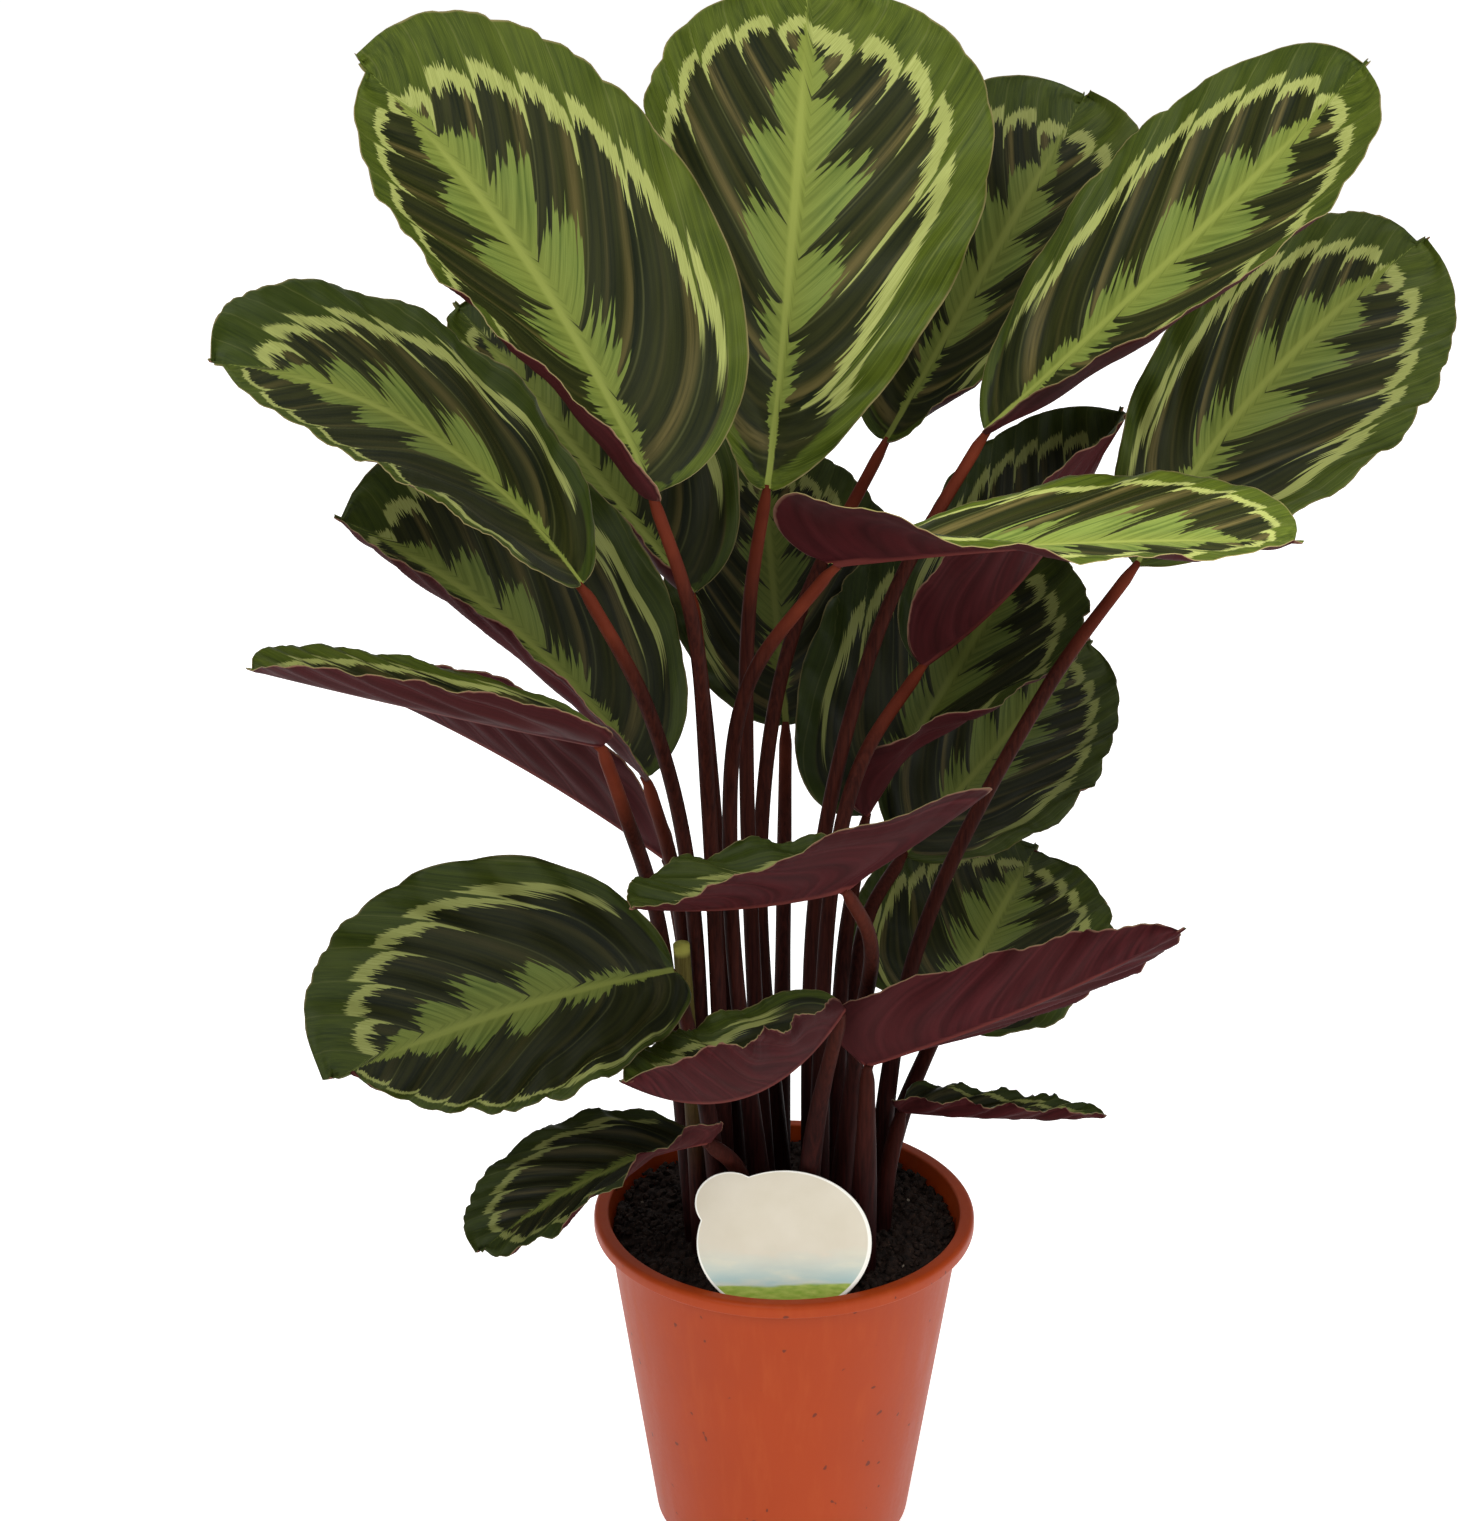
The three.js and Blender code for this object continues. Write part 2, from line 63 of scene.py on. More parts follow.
SOIL_TOP = 176.0
SOIL_GAP = 0.35
SOIL_RELIEF = 1.6
SOIL_SIDES = 150
SCATTER_RADIUS = 85.0          # of the loose lumps on the soil
LUMP_COUNT = 3600
PERLITE_COUNT = 22
CARD_THICK = 0.8
CARD_OVAL = (0.0, 27.0, 42.0, 35.5)
CARD_LOBE = (-26.0, 46.5, 16.8, 15.2)
CARD_FOOT = (-1.0, -80.0, 180.0)
CARD_LEAN = 16.7
CARD_BEND = 0.0007             # backward bend, times the distance from the middle squared
CARD_MIDDLE = (-18.0, 42.0)    # a point inside both ovals
CARD_SHELLS = (0.4, 0.75, 0.955, 0.985, 1.0)
CARD_SIDES = 180

# Leaves and stalks

TIP_HALF_WIDTH = 1.2
BASE_HALF_WIDTH = 3.0
END_SWING = 0.001              # how early the margins start to sweep back
SWEEP = 4.2                    # of lobe and shoulder
VEINS = 6.6                    # lateral veins on each side of a leaf
CREST = 1.1                    # height of the folds that follow the veins
NICK = 1.9                     # depth of the margin's scallops
LIGHT_CENTRE = 0.34            # widest part of the light centre, against half the blade
RIB_DEPTH = 1.5                # of the midrib under the base of the blade
RIB_WIDTH = 1.9                # how much wider the midrib's pale line is there than at the tip
BLADE_ROWS = 96
BLADE_COLUMNS = 26
BLADE_THICK = 0.7
STALK_SIDES = 16
STALK_RINGS = 72
STALK_HEIGHTS = (132, 280, 600)
STALK_RADII = (3.9, 3.1)       # at the upper two heights; each leaf has its own at the first
JOINT_LENGTH = 36.0            # reddish length below each blade
CUT_STEM = ([(-40, -28, 132), (-44, -36, 230), (-50, -44, 335)], 4.5)

# Light and camera, in metres

AMBIENT = 0.30                 # strength of the white surroundings as a light
CAMERA_PLACE = (-0.027, -1.6, 1.086)
CAMERA_PITCH = 22.4
FOCAL_PIXELS = 3645.0
PHOTO_HEIGHT = 1521
SENSOR = 24.0

# Each leaf, with the same shape as in the part's source: its stalk from the soil up, then
# the blade from base to tip. Heights are measured from the top of the pot's foot. face is
# the way the upper side looks (degrees round from the viewer, degrees up). left and right
# are the two halves seen with the tip up: fold at base, fold at tip, roll at base, roll at
# tip (degrees) and a width factor. wave is height, count and phase, and wavy how much of it
# each half has. lobe and shoulder sweep the outline outward at the base and at the tip.
# broad is where the blade is widest, full how blunt its ends are, sheath its stalk's radius
# at the soil. painted_light is the painted light and shade on the whole leaf, lighter or darker
# by how it lies in the light; satin how much painted brown sheen it has; ring how far in
# the pale ring lies on each half; margin_shade how much painted shade darkens the green outside
# the ring; and centre how wide the light centre is.

PLAIN = dict(
    broad=0.54, full=0.47, arch=0, bend=0, ease=1, left=(8, 8, 10, 10, 1), right=(8, 8, 10, 10, 1),
    wave=(3, 5, 0), wavy=(1, 1), lobe=(6, 6), shoulder=(4, 4), sheath=4.9,
    ring=(0.25, 0.25), painted_light=0.8, satin=0.7, margin_shade=(0, 0), centre=1)

LEAVES = dict(
    top_centre=dict(
        stalk=[(-8, -2, 132), (-19, -1, 400), (-18, -5, 490)],
        base=(-10, -10, 550), tip=(8, 40, 773), width=158, face=(0, 20), broad=0.7, full=0.4,
        arch=-4, bend=2,
        left=(14, 6, 10, 10, 0.92), right=(10, 4, 6, 6, 1.12),
        wave=(3, 6, 0.1), lobe=(8, 8), sheath=7.5,
        painted_light=0.96, satin=1.1, ring=(0.2, 0.28)),
    top_left=dict(
        stalk=[(-27, -15, 132), (-37, -50, 410), (-44, -76, 510)],
        base=(-61, -95, 575), tip=(-178, -115, 766), width=162, face=(8, 18), broad=0.48, bend=11,
        left=(35, 30, 110, 10, 0.85), right=(2, 0, 6, 6, 0.97),
        wave=(2.5, 6, 0.3), wavy=(0.5, 1), shoulder=(4, 16), sheath=5.6,
        painted_light=0.86, satin=0.9, ring=(0.16, 0.26), margin_shade=(0.2, 0.1)),
    upper_left=dict(
        stalk=[(-38, -4, 132), (-46, -44, 370), (-64, -74, 466)],
        base=(-92, -100, 535), tip=(-243, -125, 642), width=138, face=(-12, 74), broad=0.53,
        arch=12, bend=20,
        left=(12, 12, 8, 8, 1.15), right=(12, 12, 8, 8, 0.9),
        wave=(3, 5, 0.2), wavy=(0.35, 1), lobe=(2, 2), shoulder=(4, 12),
        painted_light=0.82, satin=0.6, ring=(0.1, 0.27), margin_shade=(0.2, 0.6)),
    back_left=dict(
        stalk=[(-22, 20, 132), (-35, 42, 370)],
        base=(-45, 55, 475), tip=(-160, 110, 604), width=138, face=(-5, 40), broad=0.5,
        left=(30, 20, 110, 60, 0.75), right=(10, 10, 10, 10, 1),
        wave=(3, 5, 0.2), sheath=6.2,
        painted_light=0.6, satin=0.9, ring=(0.2, 0.25), margin_shade=(0.3, 0.5), centre=0.7),
    mid_left=dict(
        stalk=[(-38, 8, 132), (-52, -18, 350)],
        base=(-66, -34, 416), tip=(-204, -50, 549), width=156, face=(12, 45), bend=14,
        left=(30, 30, 70, 60, 0.62), right=(0, 0, 10, 10, 1.02),
        wave=(3, 5, 0.6), wavy=(0.4, 1), sheath=5.4,
        painted_light=0.53, satin=0.8, ring=(0.2, 0.24), margin_shade=(0.3, 0.5), centre=0.68),
    left_reach=dict(
        stalk=[(-42, -14, 132), (-60, -47, 344), (-75, -98, 428)],
        base=(-84, -118, 467), tip=(-232, -154, 516), width=108, face=(-10, 94), full=0.36,
        arch=-1,
        left=(14, 14, 30, 20, 1), right=(14, 8, 10, 10, 0.75),
        wave=(2.5, 5, 0.3), wavy=(0.3, 0.3),
        painted_light=0.84, satin=0.5),
    left_under=dict(
        stalk=[(-36, 22, 132), (-45, 15, 270)],
        base=(-57, 10, 355), tip=(-194, 70, 414), width=128, face=(170, 70), arch=4,
        left=(35, 32, 15, 15, 1), right=(10, 10, 10, 10, 0.7),
        wave=(3, 5, 0.3), wavy=(0.5, 0.6), sheath=6,
        painted_light=0.55, satin=0.4),
    low_left=dict(
        stalk=[(-28, -32, 132), (-37, -51, 245)],
        base=(-53, -75, 336), tip=(-203, -150, 319), width=122, face=(-12, 25), arch=4, bend=5,
        left=(25, 10, 15, 10, 0.8), right=(4, 4, 6, 6, 1.2),
        wave=(3, 6, 0.2), lobe=(12, 0), shoulder=(-8, 16), sheath=6,
        painted_light=0.5, satin=0.25, ring=(0.1, 0.27), margin_shade=(0.3, 0.4), centre=0.78),
    rim_left=dict(
        stalk=[(-16, -42, 132), (-22, -46, 212)],
        base=(-38, -68, 243), tip=(-141, -138, 224), width=72, face=(-30, 55), arch=12,
        left=(50, 5, 60, 10, 0.85), right=(5, 5, 10, 10, 1),
        wave=(2.5, 5, 0.2), lobe=(14, 0), shoulder=(4, 10), sheath=5.4,
        painted_light=0.42, satin=0.8, margin_shade=(0.5, 0.5), centre=0.35),
    low_front=dict(
        stalk=[(22, -24, 132), (34, -38, 280), (38, -74, 350)],
        base=(25, -95, 387), tip=(-70, -140, 398), width=90, face=(180, 76), broad=0.45, arch=-4,
        left=(60, 6, 30, 10, 1.2), right=(30, 10, 10, 10, 1),
        wave=(4, 4, 0.2), wavy=(0.4, 1), lobe=(85, 20), sheath=7,
        painted_light=0.66, satin=0.3, ring=(0.52, 0.52), margin_shade=(0.4, 0.4), centre=0.6),
    back_right=dict(
        stalk=[(2, 18, 132), (-12, 24, 360), (4, 46, 460)],
        base=(48, 78, 545), tip=(143, 138, 698), width=133, face=(-18, 20), broad=0.6,
        left=(10, 5, 10, 10, 1), right=(20, 8, 75, 10, 1),
        wave=(3, 5, 0.2), shoulder=(10, 14), sheath=6.4,
        painted_light=0.62, satin=1.5, margin_shade=(0.3, 0.1), centre=0.8),
    top_right=dict(
        stalk=[(14, 6, 132), (16, 9, 350), (47, 18, 480)],
        base=(92, 25, 566), tip=(256, 15, 740), width=137, face=(-22, 55), broad=0.56, bend=3,
        left=(5, 5, 10, 10, 0.88), right=(15, 5, 80, 20, 1.24),
        wave=(3, 6, 0.2), wavy=(0.6, 0.4), lobe=(2, 4), shoulder=(8, 8), sheath=5.8,
        painted_light=1.0, satin=1.0, margin_shade=(0.45, 0.1)),
    far_right=dict(
        stalk=[(42, 8, 132), (64, 10, 306), (124, 22, 438)],
        base=(168, 52, 491), tip=(309, 125, 632), width=148, face=(10, 45), broad=0.58, bend=-12,
        left=(5, 5, 10, 10, 0.72), right=(5, 5, 10, 10, 0.92),
        wave=(3, 6, 0.4), lobe=(2, 0), shoulder=(4, 10), sheath=6.2,
        painted_light=0.78, satin=1.1, margin_shade=(0.45, 0.2)),
    right_shelf=dict(
        stalk=[(-6, -18, 132), (-27, -34, 370), (-19, -46, 466)],
        base=(20, -60, 530), tip=(215, -140, 568), width=115, face=(0, 88), arch=4, ease=3.5,
        left=(-10, 5, 10, 10, 1.15), right=(124, 5, 16, 10, 1),
        wave=(3.5, 5, 0.2), wavy=(0.25, 0.6), lobe=(15, 46), sheath=7,
        painted_light=1.5, satin=1.3, ring=(0.14, 0.22), centre=1.5),
    right_fold=dict(
        stalk=[(16, -10, 132), (22, -6, 350), (36, 10, 406)],
        base=(66, 42, 443), tip=(160, 72, 563), width=130, face=(-25, 40), bend=14, ease=0.5,
        left=(10, 8, 10, 10, 0.9), right=(115, 35, 5, 5, 0.92),
        wave=(3, 5, 0.2), wavy=(0.6, 0.5), lobe=(10, 4), shoulder=(4, 4), sheath=6.2,
        painted_light=0.5, satin=0.8, margin_shade=(0.6, 0)),
    centre_right=dict(
        stalk=[(26, 12, 132), (29, 32, 290)],
        base=(40, 50, 361), tip=(123, 110, 488), width=140, face=(-5, 35), bend=2, ease=1.5,
        left=(8, 8, 10, 10, 1), right=(92, 0, 80, 30, 0.96),
        wave=(3.5, 5, 0.2), lobe=(20, 6), sheath=6,
        painted_light=0.46, satin=0.5, margin_shade=(0.7, 0.3)),
    back_low_right=dict(
        stalk=[(30, 28, 132), (35, 38, 270), (42, 56, 303)],
        base=(61, 90, 322), tip=(160, 170, 408), width=117, face=(5, 40),
        left=(5, 5, 10, 10, 1), right=(5, 5, 10, 10, 0.86),
        wave=(3, 5, 0.5), lobe=(0, 0), sheath=6.2,
        painted_light=0.38, satin=1.2, margin_shade=(0.5, 0.2)),
    low_right=dict(
        stalk=[(44, 22, 132), (58, 24, 205)],
        base=(79, 30, 260), tip=(134, 150, 301), width=128, face=(-5, 75), broad=0.46,
        left=(5, 5, 10, 10, 1.1), right=(5, 5, 10, 10, 1.05),
        wave=(3, 5, 0.5), lobe=(6, 20), shoulder=(4, -4), sheath=5.8,
        painted_light=0.56, satin=0.8, margin_shade=(0.5, 0.4)),
    right_under=dict(
        stalk=[(36, -44, 132), (38, -52, 220)],
        base=(38, -60, 280), tip=(178, -110, 374), width=103, face=(178, 36), broad=0.26,
        full=0.55, bend=-8,
        left=(30, 12, 10, 10, 0.75), right=(10, 15, 5, 20, 0.8),
        wave=(3, 5, 0.3), wavy=(0.4, 0.8), lobe=(5, 20), shoulder=(2, 2), sheath=8.5,
        painted_light=0.7, satin=0.4),
    front_under=dict(
        stalk=[(6, -34, 132), (14, -62, 250)],
        base=(25, -85, 321), tip=(-76, -140, 312), width=93, face=(175, 68), arch=-24,
        left=(36, 30, 10, 10, 1.2), right=(36, 30, 10, 10, 1.05),
        wave=(3, 4, 0.1), lobe=(6, 12), sheath=7.2,
        painted_light=0.66, satin=0.4, margin_shade=(0.2, 0.2)),
    rim_right=dict(
        stalk=[(46, -10, 132), (51, -5, 190)],
        base=(58, 0, 224), tip=(155, -30, 236), width=50, face=(5, 92), broad=0.22, arch=-2,
        left=(5, 5, 10, 10, 1), right=(15, 15, 50, 50, 1),
        wave=(2, 5, 0.1), sheath=5.4,
        painted_light=0.5, satin=0.5, margin_shade=(0.5, 0.5)),
    back_centre=dict(
        stalk=[(-2, 34, 132), (0, 72, 300)],
        base=(1, 100, 389), tip=(-12, 150, 519), width=108, face=(0, 20),
        left=(5, 5, 10, 10, 1), right=(5, 5, 10, 10, 1.2),
        wave=(3, 5, 0.1), lobe=(2, 2), sheath=6,
        painted_light=0.4, satin=1.6, margin_shade=(0.4, 0.4), centre=0.8),
)


# Small helpers

def lifted(point):
    return np.array(point, float) + (0, 0, FOOT_HEIGHT)


def unit(v):
    return v / np.linalg.norm(v, axis=-1, keepdims=True)


def smoothstep(low, high, x):
    part = np.clip((x - low) / (high - low), 0, 1)
    return part * part * (3 - 2 * part)


def by_half(pair, right):
    """The second value on the right half, the first on the left."""
    return np.where(right, pair[1], pair[0])


def new_mesh(name, points, faces, material_of=None, smooth=True):
    """A mesh object from points in millimetres."""
    mesh = bpy.data.meshes.new(name)
    mesh.from_pydata((np.asarray(points) * MM).tolist(), [], [tuple(map(int, f)) for f in faces])
    if material_of is not None:
        mesh.polygons.foreach_set("material_index", np.asarray(material_of, np.int32))
    mesh.polygons.foreach_set("use_smooth", np.full(len(mesh.polygons), smooth))
    mesh.update()
    obj = bpy.data.objects.new(name, mesh)
    bpy.context.scene.collection.objects.link(obj)
    return obj


def point_values(obj, name, values):
    """Stores a number for each point, which a material can read by its name."""
    obj.data.attributes.new(name, "FLOAT", "POINT").data.foreach_set(
        "value", np.asarray(values, np.float32))


def finish_piece(obj, node, slot, *materials):
    """Gives the piece its materials and its body, and hides the solid it stands for; slot is not
    used.
    """
    for material in materials:
        obj.data.materials.append(material)
    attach(obj, "root")
    if node:
        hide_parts(node)


# Shader arithmetic: a Signal is a number on the surface

class Signal:
    def __init__(self, tree, socket):
        self.tree = tree
        self.socket = socket

    def math(self, operation, *others, clamp=False):
        node = self.tree.nodes.new("ShaderNodeMath")
        node.operation = operation
        node.use_clamp = clamp
        for slot, value in zip(node.inputs, (self,) + others):
            if isinstance(value, Signal):
                self.tree.links.new(value.socket, slot)
            else:
                slot.default_value = value
        return Signal(self.tree, node.outputs[0])

    def __add__(self, other):
        return self.math("ADD", other)

    def __sub__(self, other):
        return self.math("SUBTRACT", other)

    def __mul__(self, other):
        return self.math("MULTIPLY", other)

    def above(self, edge, soft):
        """0 below edge, 1 above it, over a width of soft."""
        return (self - edge).math("MULTIPLY_ADD", 1 / soft, 0.5, clamp=True)


class Shader:
    """A material with its Principled shader and short ways to add nodes."""

    def __init__(self, name, **sockets):
        self.material = bpy.data.materials.new(name)
        self.material.use_nodes = True
        self.tree = self.material.node_tree
        self.surface = self.tree.nodes["Principled BSDF"]
        for socket, value in sockets.items():
            self.surface.inputs[socket.replace("_", " ")].default_value = value

    def value(self, name):
        """A number stored for each point."""
        node = self.tree.nodes.new("ShaderNodeAttribute")
        node.attribute_name = name
        return Signal(self.tree, node.outputs["Fac"])

    def vector(self, x, y=0.0, z=0.0):
        node = self.tree.nodes.new("ShaderNodeCombineXYZ")
        for slot, value in zip(node.inputs, (x, y, z)):
            if isinstance(value, Signal):
                self.tree.links.new(value.socket, slot)
            else:
                slot.default_value = value
        return node.outputs[0]

    def place(self):
        return self.tree.nodes.new("ShaderNodeTexCoord").outputs["Object"]

    def stretched(self, upward):
        """Places for a pattern that is drawn out upward."""
        node = self.tree.nodes.new("ShaderNodeMapping")
        node.inputs["Scale"].default_value = (1.0, 1.0, upward)
        self.tree.links.new(self.place(), node.inputs["Vector"])
        return node.outputs[0]

    def noise(self, where, scale=1.0, detail=2.0, rough=0.5):
        node = self.tree.nodes.new("ShaderNodeTexNoise")
        node.inputs["Scale"].default_value = scale
        node.inputs["Detail"].default_value = detail
        node.inputs["Roughness"].default_value = rough
        self.tree.links.new(where, node.inputs["Vector"])
        return Signal(self.tree, node.outputs["Fac"])

    def mix(self, amount, first, second):
        node = self.tree.nodes.new("ShaderNodeMix")
        node.data_type = "RGBA"
        self.tree.links.new(amount.socket, node.inputs["Factor"])
        for slot, value in ((node.inputs[6], first), (node.inputs[7], second)):
            if isinstance(value, bpy.types.NodeSocket):
                self.tree.links.new(value, slot)
            else:
                slot.default_value = (*value, 1.0)
        return node.outputs[2]

    def colour(self, socket):
        self.tree.links.new(socket, self.surface.inputs["Base Color"])

    def roughness(self, signal):
        self.tree.links.new(signal.socket, self.surface.inputs["Roughness"])

    def bump(self, height, distance, strength=1.0):
        node = self.tree.nodes.new("ShaderNodeBump")
        node.inputs["Strength"].default_value = strength
        node.inputs["Distance"].default_value = distance * MM
        self.tree.links.new(height.socket, node.inputs["Height"])
        self.tree.links.new(node.outputs[0], self.surface.inputs["Normal"])


def rgb(red, green, blue):
    """Display colour, 0 to 255, as linear light."""
    return tuple(((c / 255 + 0.055) / 1.055) ** 2.4 if c > 10 else c / 3294
                 for c in (red, green, blue))


# Leaf materials

def leaf_upper():
    """Feathered light centre, dark field, jagged ring and mid-green margin."""
    sh = Shader("leaf_upper", IOR=1.24)
    vein = sh.value("vein")
    across = sh.value("across")
    edge = sh.value("edge")
    reach = sh.value("reach")
    part = vein.math("FRACT")
    which = vein.math("FLOOR")
    warp = sh.noise(sh.vector(vein * 5.0, across * 1.6, 3.0), 1.0, 1.0)
    rough = sh.noise(sh.vector(vein * 22.0, across * 2.0, 7.0), 1.0, 2.0, 0.7)
    fibre = sh.noise(sh.vector(vein * 70.0, across * 4.0, 2.0), 1.0, 2.0)
    streak = sh.noise(sh.vector(vein * 7.0, across * 1.1, 11.0), 1.0, 3.0, 0.6)
    each = sh.noise(sh.vector(which * 3.7, 5.0), 1.0, 0.0)
    soft = sh.noise(sh.place(), 26.0, 2.0)
    fingers = (vein * 4.3 + warp * 2.2).math("PINGPONG", 0.5) * 2.0
    spikes = (vein * 12.0 + warp * 5.0 + across * 2.0).math("PINGPONG", 0.5) * 2.0

    # the light centre: how far it reaches from the midrib, in fingers along the veins
    rise = part.math("MULTIPLY_ADD", 8.0, 0.18, clamp=True)
    fall = part.math("POWER", 3.0) * -0.72 + 1.0
    extent = reach * (rise * fall) * (each * 0.8 + 0.62)
    extent = extent + (fingers - 0.62) * (warp * 0.9) * (reach * 0.9)
    extent = extent + (spikes - 0.5) * rough * 0.10 + (rough - 0.5) * 0.12
    light = (extent - across).above(0.0, 0.016)

    # the ring, at a ragged distance from the margin, and the green outside it
    depth = sh.value("ring")
    ahead = part * -1.0 + 1.0
    ring_at = depth * (ahead.math("POWER", 2.0) * 0.30 + each * 0.22 + 0.84)
    tail = part.math("MULTIPLY_ADD", -9.0, 1.0, clamp=True)
    ragged = (warp - 0.5) * 0.34 + spikes * rough * 0.40 + (rough - 0.5) * 0.30
    inner = ring_at + depth * (tail * 0.42 + ragged)
    outer = ring_at - depth * (spikes * rough * 0.22 + (rough - 0.5) * 0.2 - tail * 0.16 + 0.2)
    ring = (inner - edge).above(0.0, 0.008) * (edge - outer).above(0.0, 0.01)
    ring = ring * (sh.value("along") + (warp - 0.5) * 0.5 + (rough - 0.5) * 0.3).above(0.2, 0.06)
    margin = (outer - edge).above(0.0, 0.014)

    # the dark field with its painted brown sheen, the margin, the ring and the centre in colour
    dark = sh.mix(streak.above(0.5, 0.35), rgb(19, 26, 4), rgb(50, 53, 16))
    # painted sheen: brown stripes along the veins of the dark field stand in for light caught on
    # the folds
    satin = (part - 0.2).math("ABSOLUTE").math("MULTIPLY_ADD", -7.0, 1.1, clamp=True)
    second = (part - 0.62).math("ABSOLUTE").math("MULTIPLY_ADD", -11.0, 0.8, clamp=True)
    satin = satin * (each * 0.9 + 0.5) + second * (each * -1.4 + 1.0).math("MAXIMUM", 0.0)
    satin = satin * streak.above(0.47, 0.22) * sh.value("satin")
    dark = sh.mix(satin.above(0.5, 1.0), dark, rgb(100, 90, 48))
    green = sh.mix(streak.above(0.5, 0.35), rgb(50, 64, 11), rgb(84, 98, 24))
    green = sh.mix(fibre.above(0.6, 0.2) * 0.35, green, rgb(122, 134, 48))
    # pale blotches on the margin's green: painted highlights
    green = sh.mix(soft.above(0.62, 0.25) * 0.4, green, rgb(108, 120, 40))
    # painted shade: the green outside the ring darkened on leaves and halves that lie in shadow
    green = sh.mix(sh.value("margin_shade"), green, rgb(36, 50, 14))
    field = sh.mix(margin, dark, green)
    pale = sh.mix(fibre.above(0.5, 0.4), rgb(148, 156, 80), rgb(180, 186, 108))
    field = sh.mix(ring, field, pale)
    centre = sh.mix(fibre.above(0.5, 0.5), rgb(104, 122, 50), rgb(134, 148, 70))
    centre = sh.mix(fingers.above(0.3, 0.5), rgb(88, 106, 42), centre)
    near = across.math("MULTIPLY_ADD", -4.0, 0.8, clamp=True)
    centre = sh.mix(near * 0.7, centre, rgb(138, 146, 60))
    field = sh.mix(light, field, centre)
    # creases between the veins, the midrib, the rim, and each leaf's painted light and shade
    crease = (part - 0.5).math("ABSOLUTE").math("MULTIPLY_ADD", 30.0, -14.2, clamp=True)
    field = sh.mix(crease * 0.3, field, rgb(128, 130, 74))
    field = sh.mix(sh.value("rib").above(0.5, 0.5), field, rgb(146, 156, 72))
    rim = edge.math("MULTIPLY_ADD", -110.0, 1.0, clamp=True)
    field = sh.mix(rim, field, rgb(140, 128, 82))
    # painted light and shade: the whole leaf made lighter or darker by how it lies in the light
    shade = sh.tree.nodes.new("ShaderNodeHueSaturation")
    sh.tree.links.new(sh.value("painted_light").socket, shade.inputs["Value"])
    sh.tree.links.new(field, shade.inputs["Color"])
    sh.colour(shade.outputs[0])
    sh.roughness((soft - 0.5) * 0.14 + (fibre - 0.5) * 0.1 + 0.48)
    sh.bump(fibre * 0.35 + streak * 0.5 + (part - 0.5).math("ABSOLUTE") * 0.6, 0.5, 0.6)
    return sh.material


def leaf_under():
    """Burgundy underside with faint raised veins."""
    sh = Shader("leaf_under", IOR=1.14)
    vein = sh.value("vein")
    across = sh.value("across")
    part = vein.math("FRACT")
    line = (part - 0.5).math("ABSOLUTE").math("MULTIPLY_ADD", 12.0, -5.0, clamp=True)
    streak = sh.noise(sh.vector(vein * 6.0, across * 1.4, 4.0), 1.0, 3.0)
    fibre = sh.noise(sh.vector(vein * 60.0, across * 5.0, 2.0), 1.0, 2.0)
    soft = sh.noise(sh.place(), 22.0, 2.0)
    base = sh.mix(streak.above(0.5, 0.4), rgb(42, 11, 13), rgb(66, 21, 24))
    base = sh.mix(soft.above(0.5, 0.4) * 0.5, base, rgb(54, 23, 22))
    base = sh.mix(line * 0.3, base, rgb(82, 33, 35))
    base = sh.mix(sh.value("rib").above(0.5, 0.5) * 0.6, base, rgb(104, 48, 42))
    rim = sh.value("edge").math("MULTIPLY_ADD", -60.0, 1.0, clamp=True)
    base = sh.mix(rim, base, rgb(132, 96, 78))
    sh.colour(base)
    sh.roughness((soft - 0.5) * 0.15 + 0.66)
    sh.bump(fibre * 0.3 + streak * 0.5 + line * 0.5, 0.5, 0.5)
    return sh.material


# Blades

def half_width(leaf, s):
    """Half the blade's width at the part s of its length."""
    along = np.minimum(s / 0.97, 1)
    skew = math.log(0.5) / math.log(leaf["broad"])
    swell = np.maximum(np.sin(np.pi * along ** skew), 0) ** leaf["full"]
    least = BASE_HALF_WIDTH + (TIP_HALF_WIDTH - BASE_HALF_WIDTH) * s
    return np.maximum(leaf["width"] / 2 * swell, least)


def blade_axes(leaf):
    """Base, base to tip, the way the upper side looks, and the way across."""
    base = lifted(leaf["base"])
    span = lifted(leaf["tip"]) - base
    along = unit(span)
    turn, up = np.radians(leaf["face"])
    look = np.array([math.sin(turn) * math.cos(up), -math.cos(turn) * math.cos(up), math.sin(up)])
    over = unit(look - look.dot(along) * along)
    return base, span, over, np.cross(along, over)


def blade_fields(leaf, s, q, right, length, rng):
    """Vein number, distance from the margin and other values that the pattern is drawn from."""
    half = half_width(leaf, s)
    full = leaf["width"] / 2
    slant = 0.35 + 0.75 * smoothstep(0.0, 0.55, s) + 0.35 * q
    vein = VEINS * (s - half * q / length * slant) + np.where(right, 20.45, 20)
    vein = vein + rng.uniform(0, 1)
    ring = np.linspace(0, 1, 160)
    gap_x = (half * q)[..., None] - half_width(leaf, ring)
    gap_y = (s * length)[..., None] - ring * length
    edge = np.sqrt(gap_x ** 2 + gap_y ** 2).min(-1) / full
    edge = np.where(q > 0.999, 0, edge)
    depth = by_half(leaf["ring"], right)
    depth = depth * (0.3 + 0.7 * smoothstep(0.0, 0.5, s))
    reach = smoothstep(-0.12, 0.5, s) * (1 - smoothstep(0.62, 0.93, s)) ** 0.8
    reach = leaf["centre"] * LIGHT_CENTRE * reach
    rib_width = RIB_WIDTH * (1 - s) + 0.3
    rib = (1 - smoothstep(0.4, 1.0, half * q / rib_width)) * (1 - smoothstep(0.7, 0.95, s))
    return dict(vein=vein, across=q, along=s, edge=edge, ring=depth, reach=reach, rib=rib,
                margin_shade=by_half(leaf["margin_shade"], right))


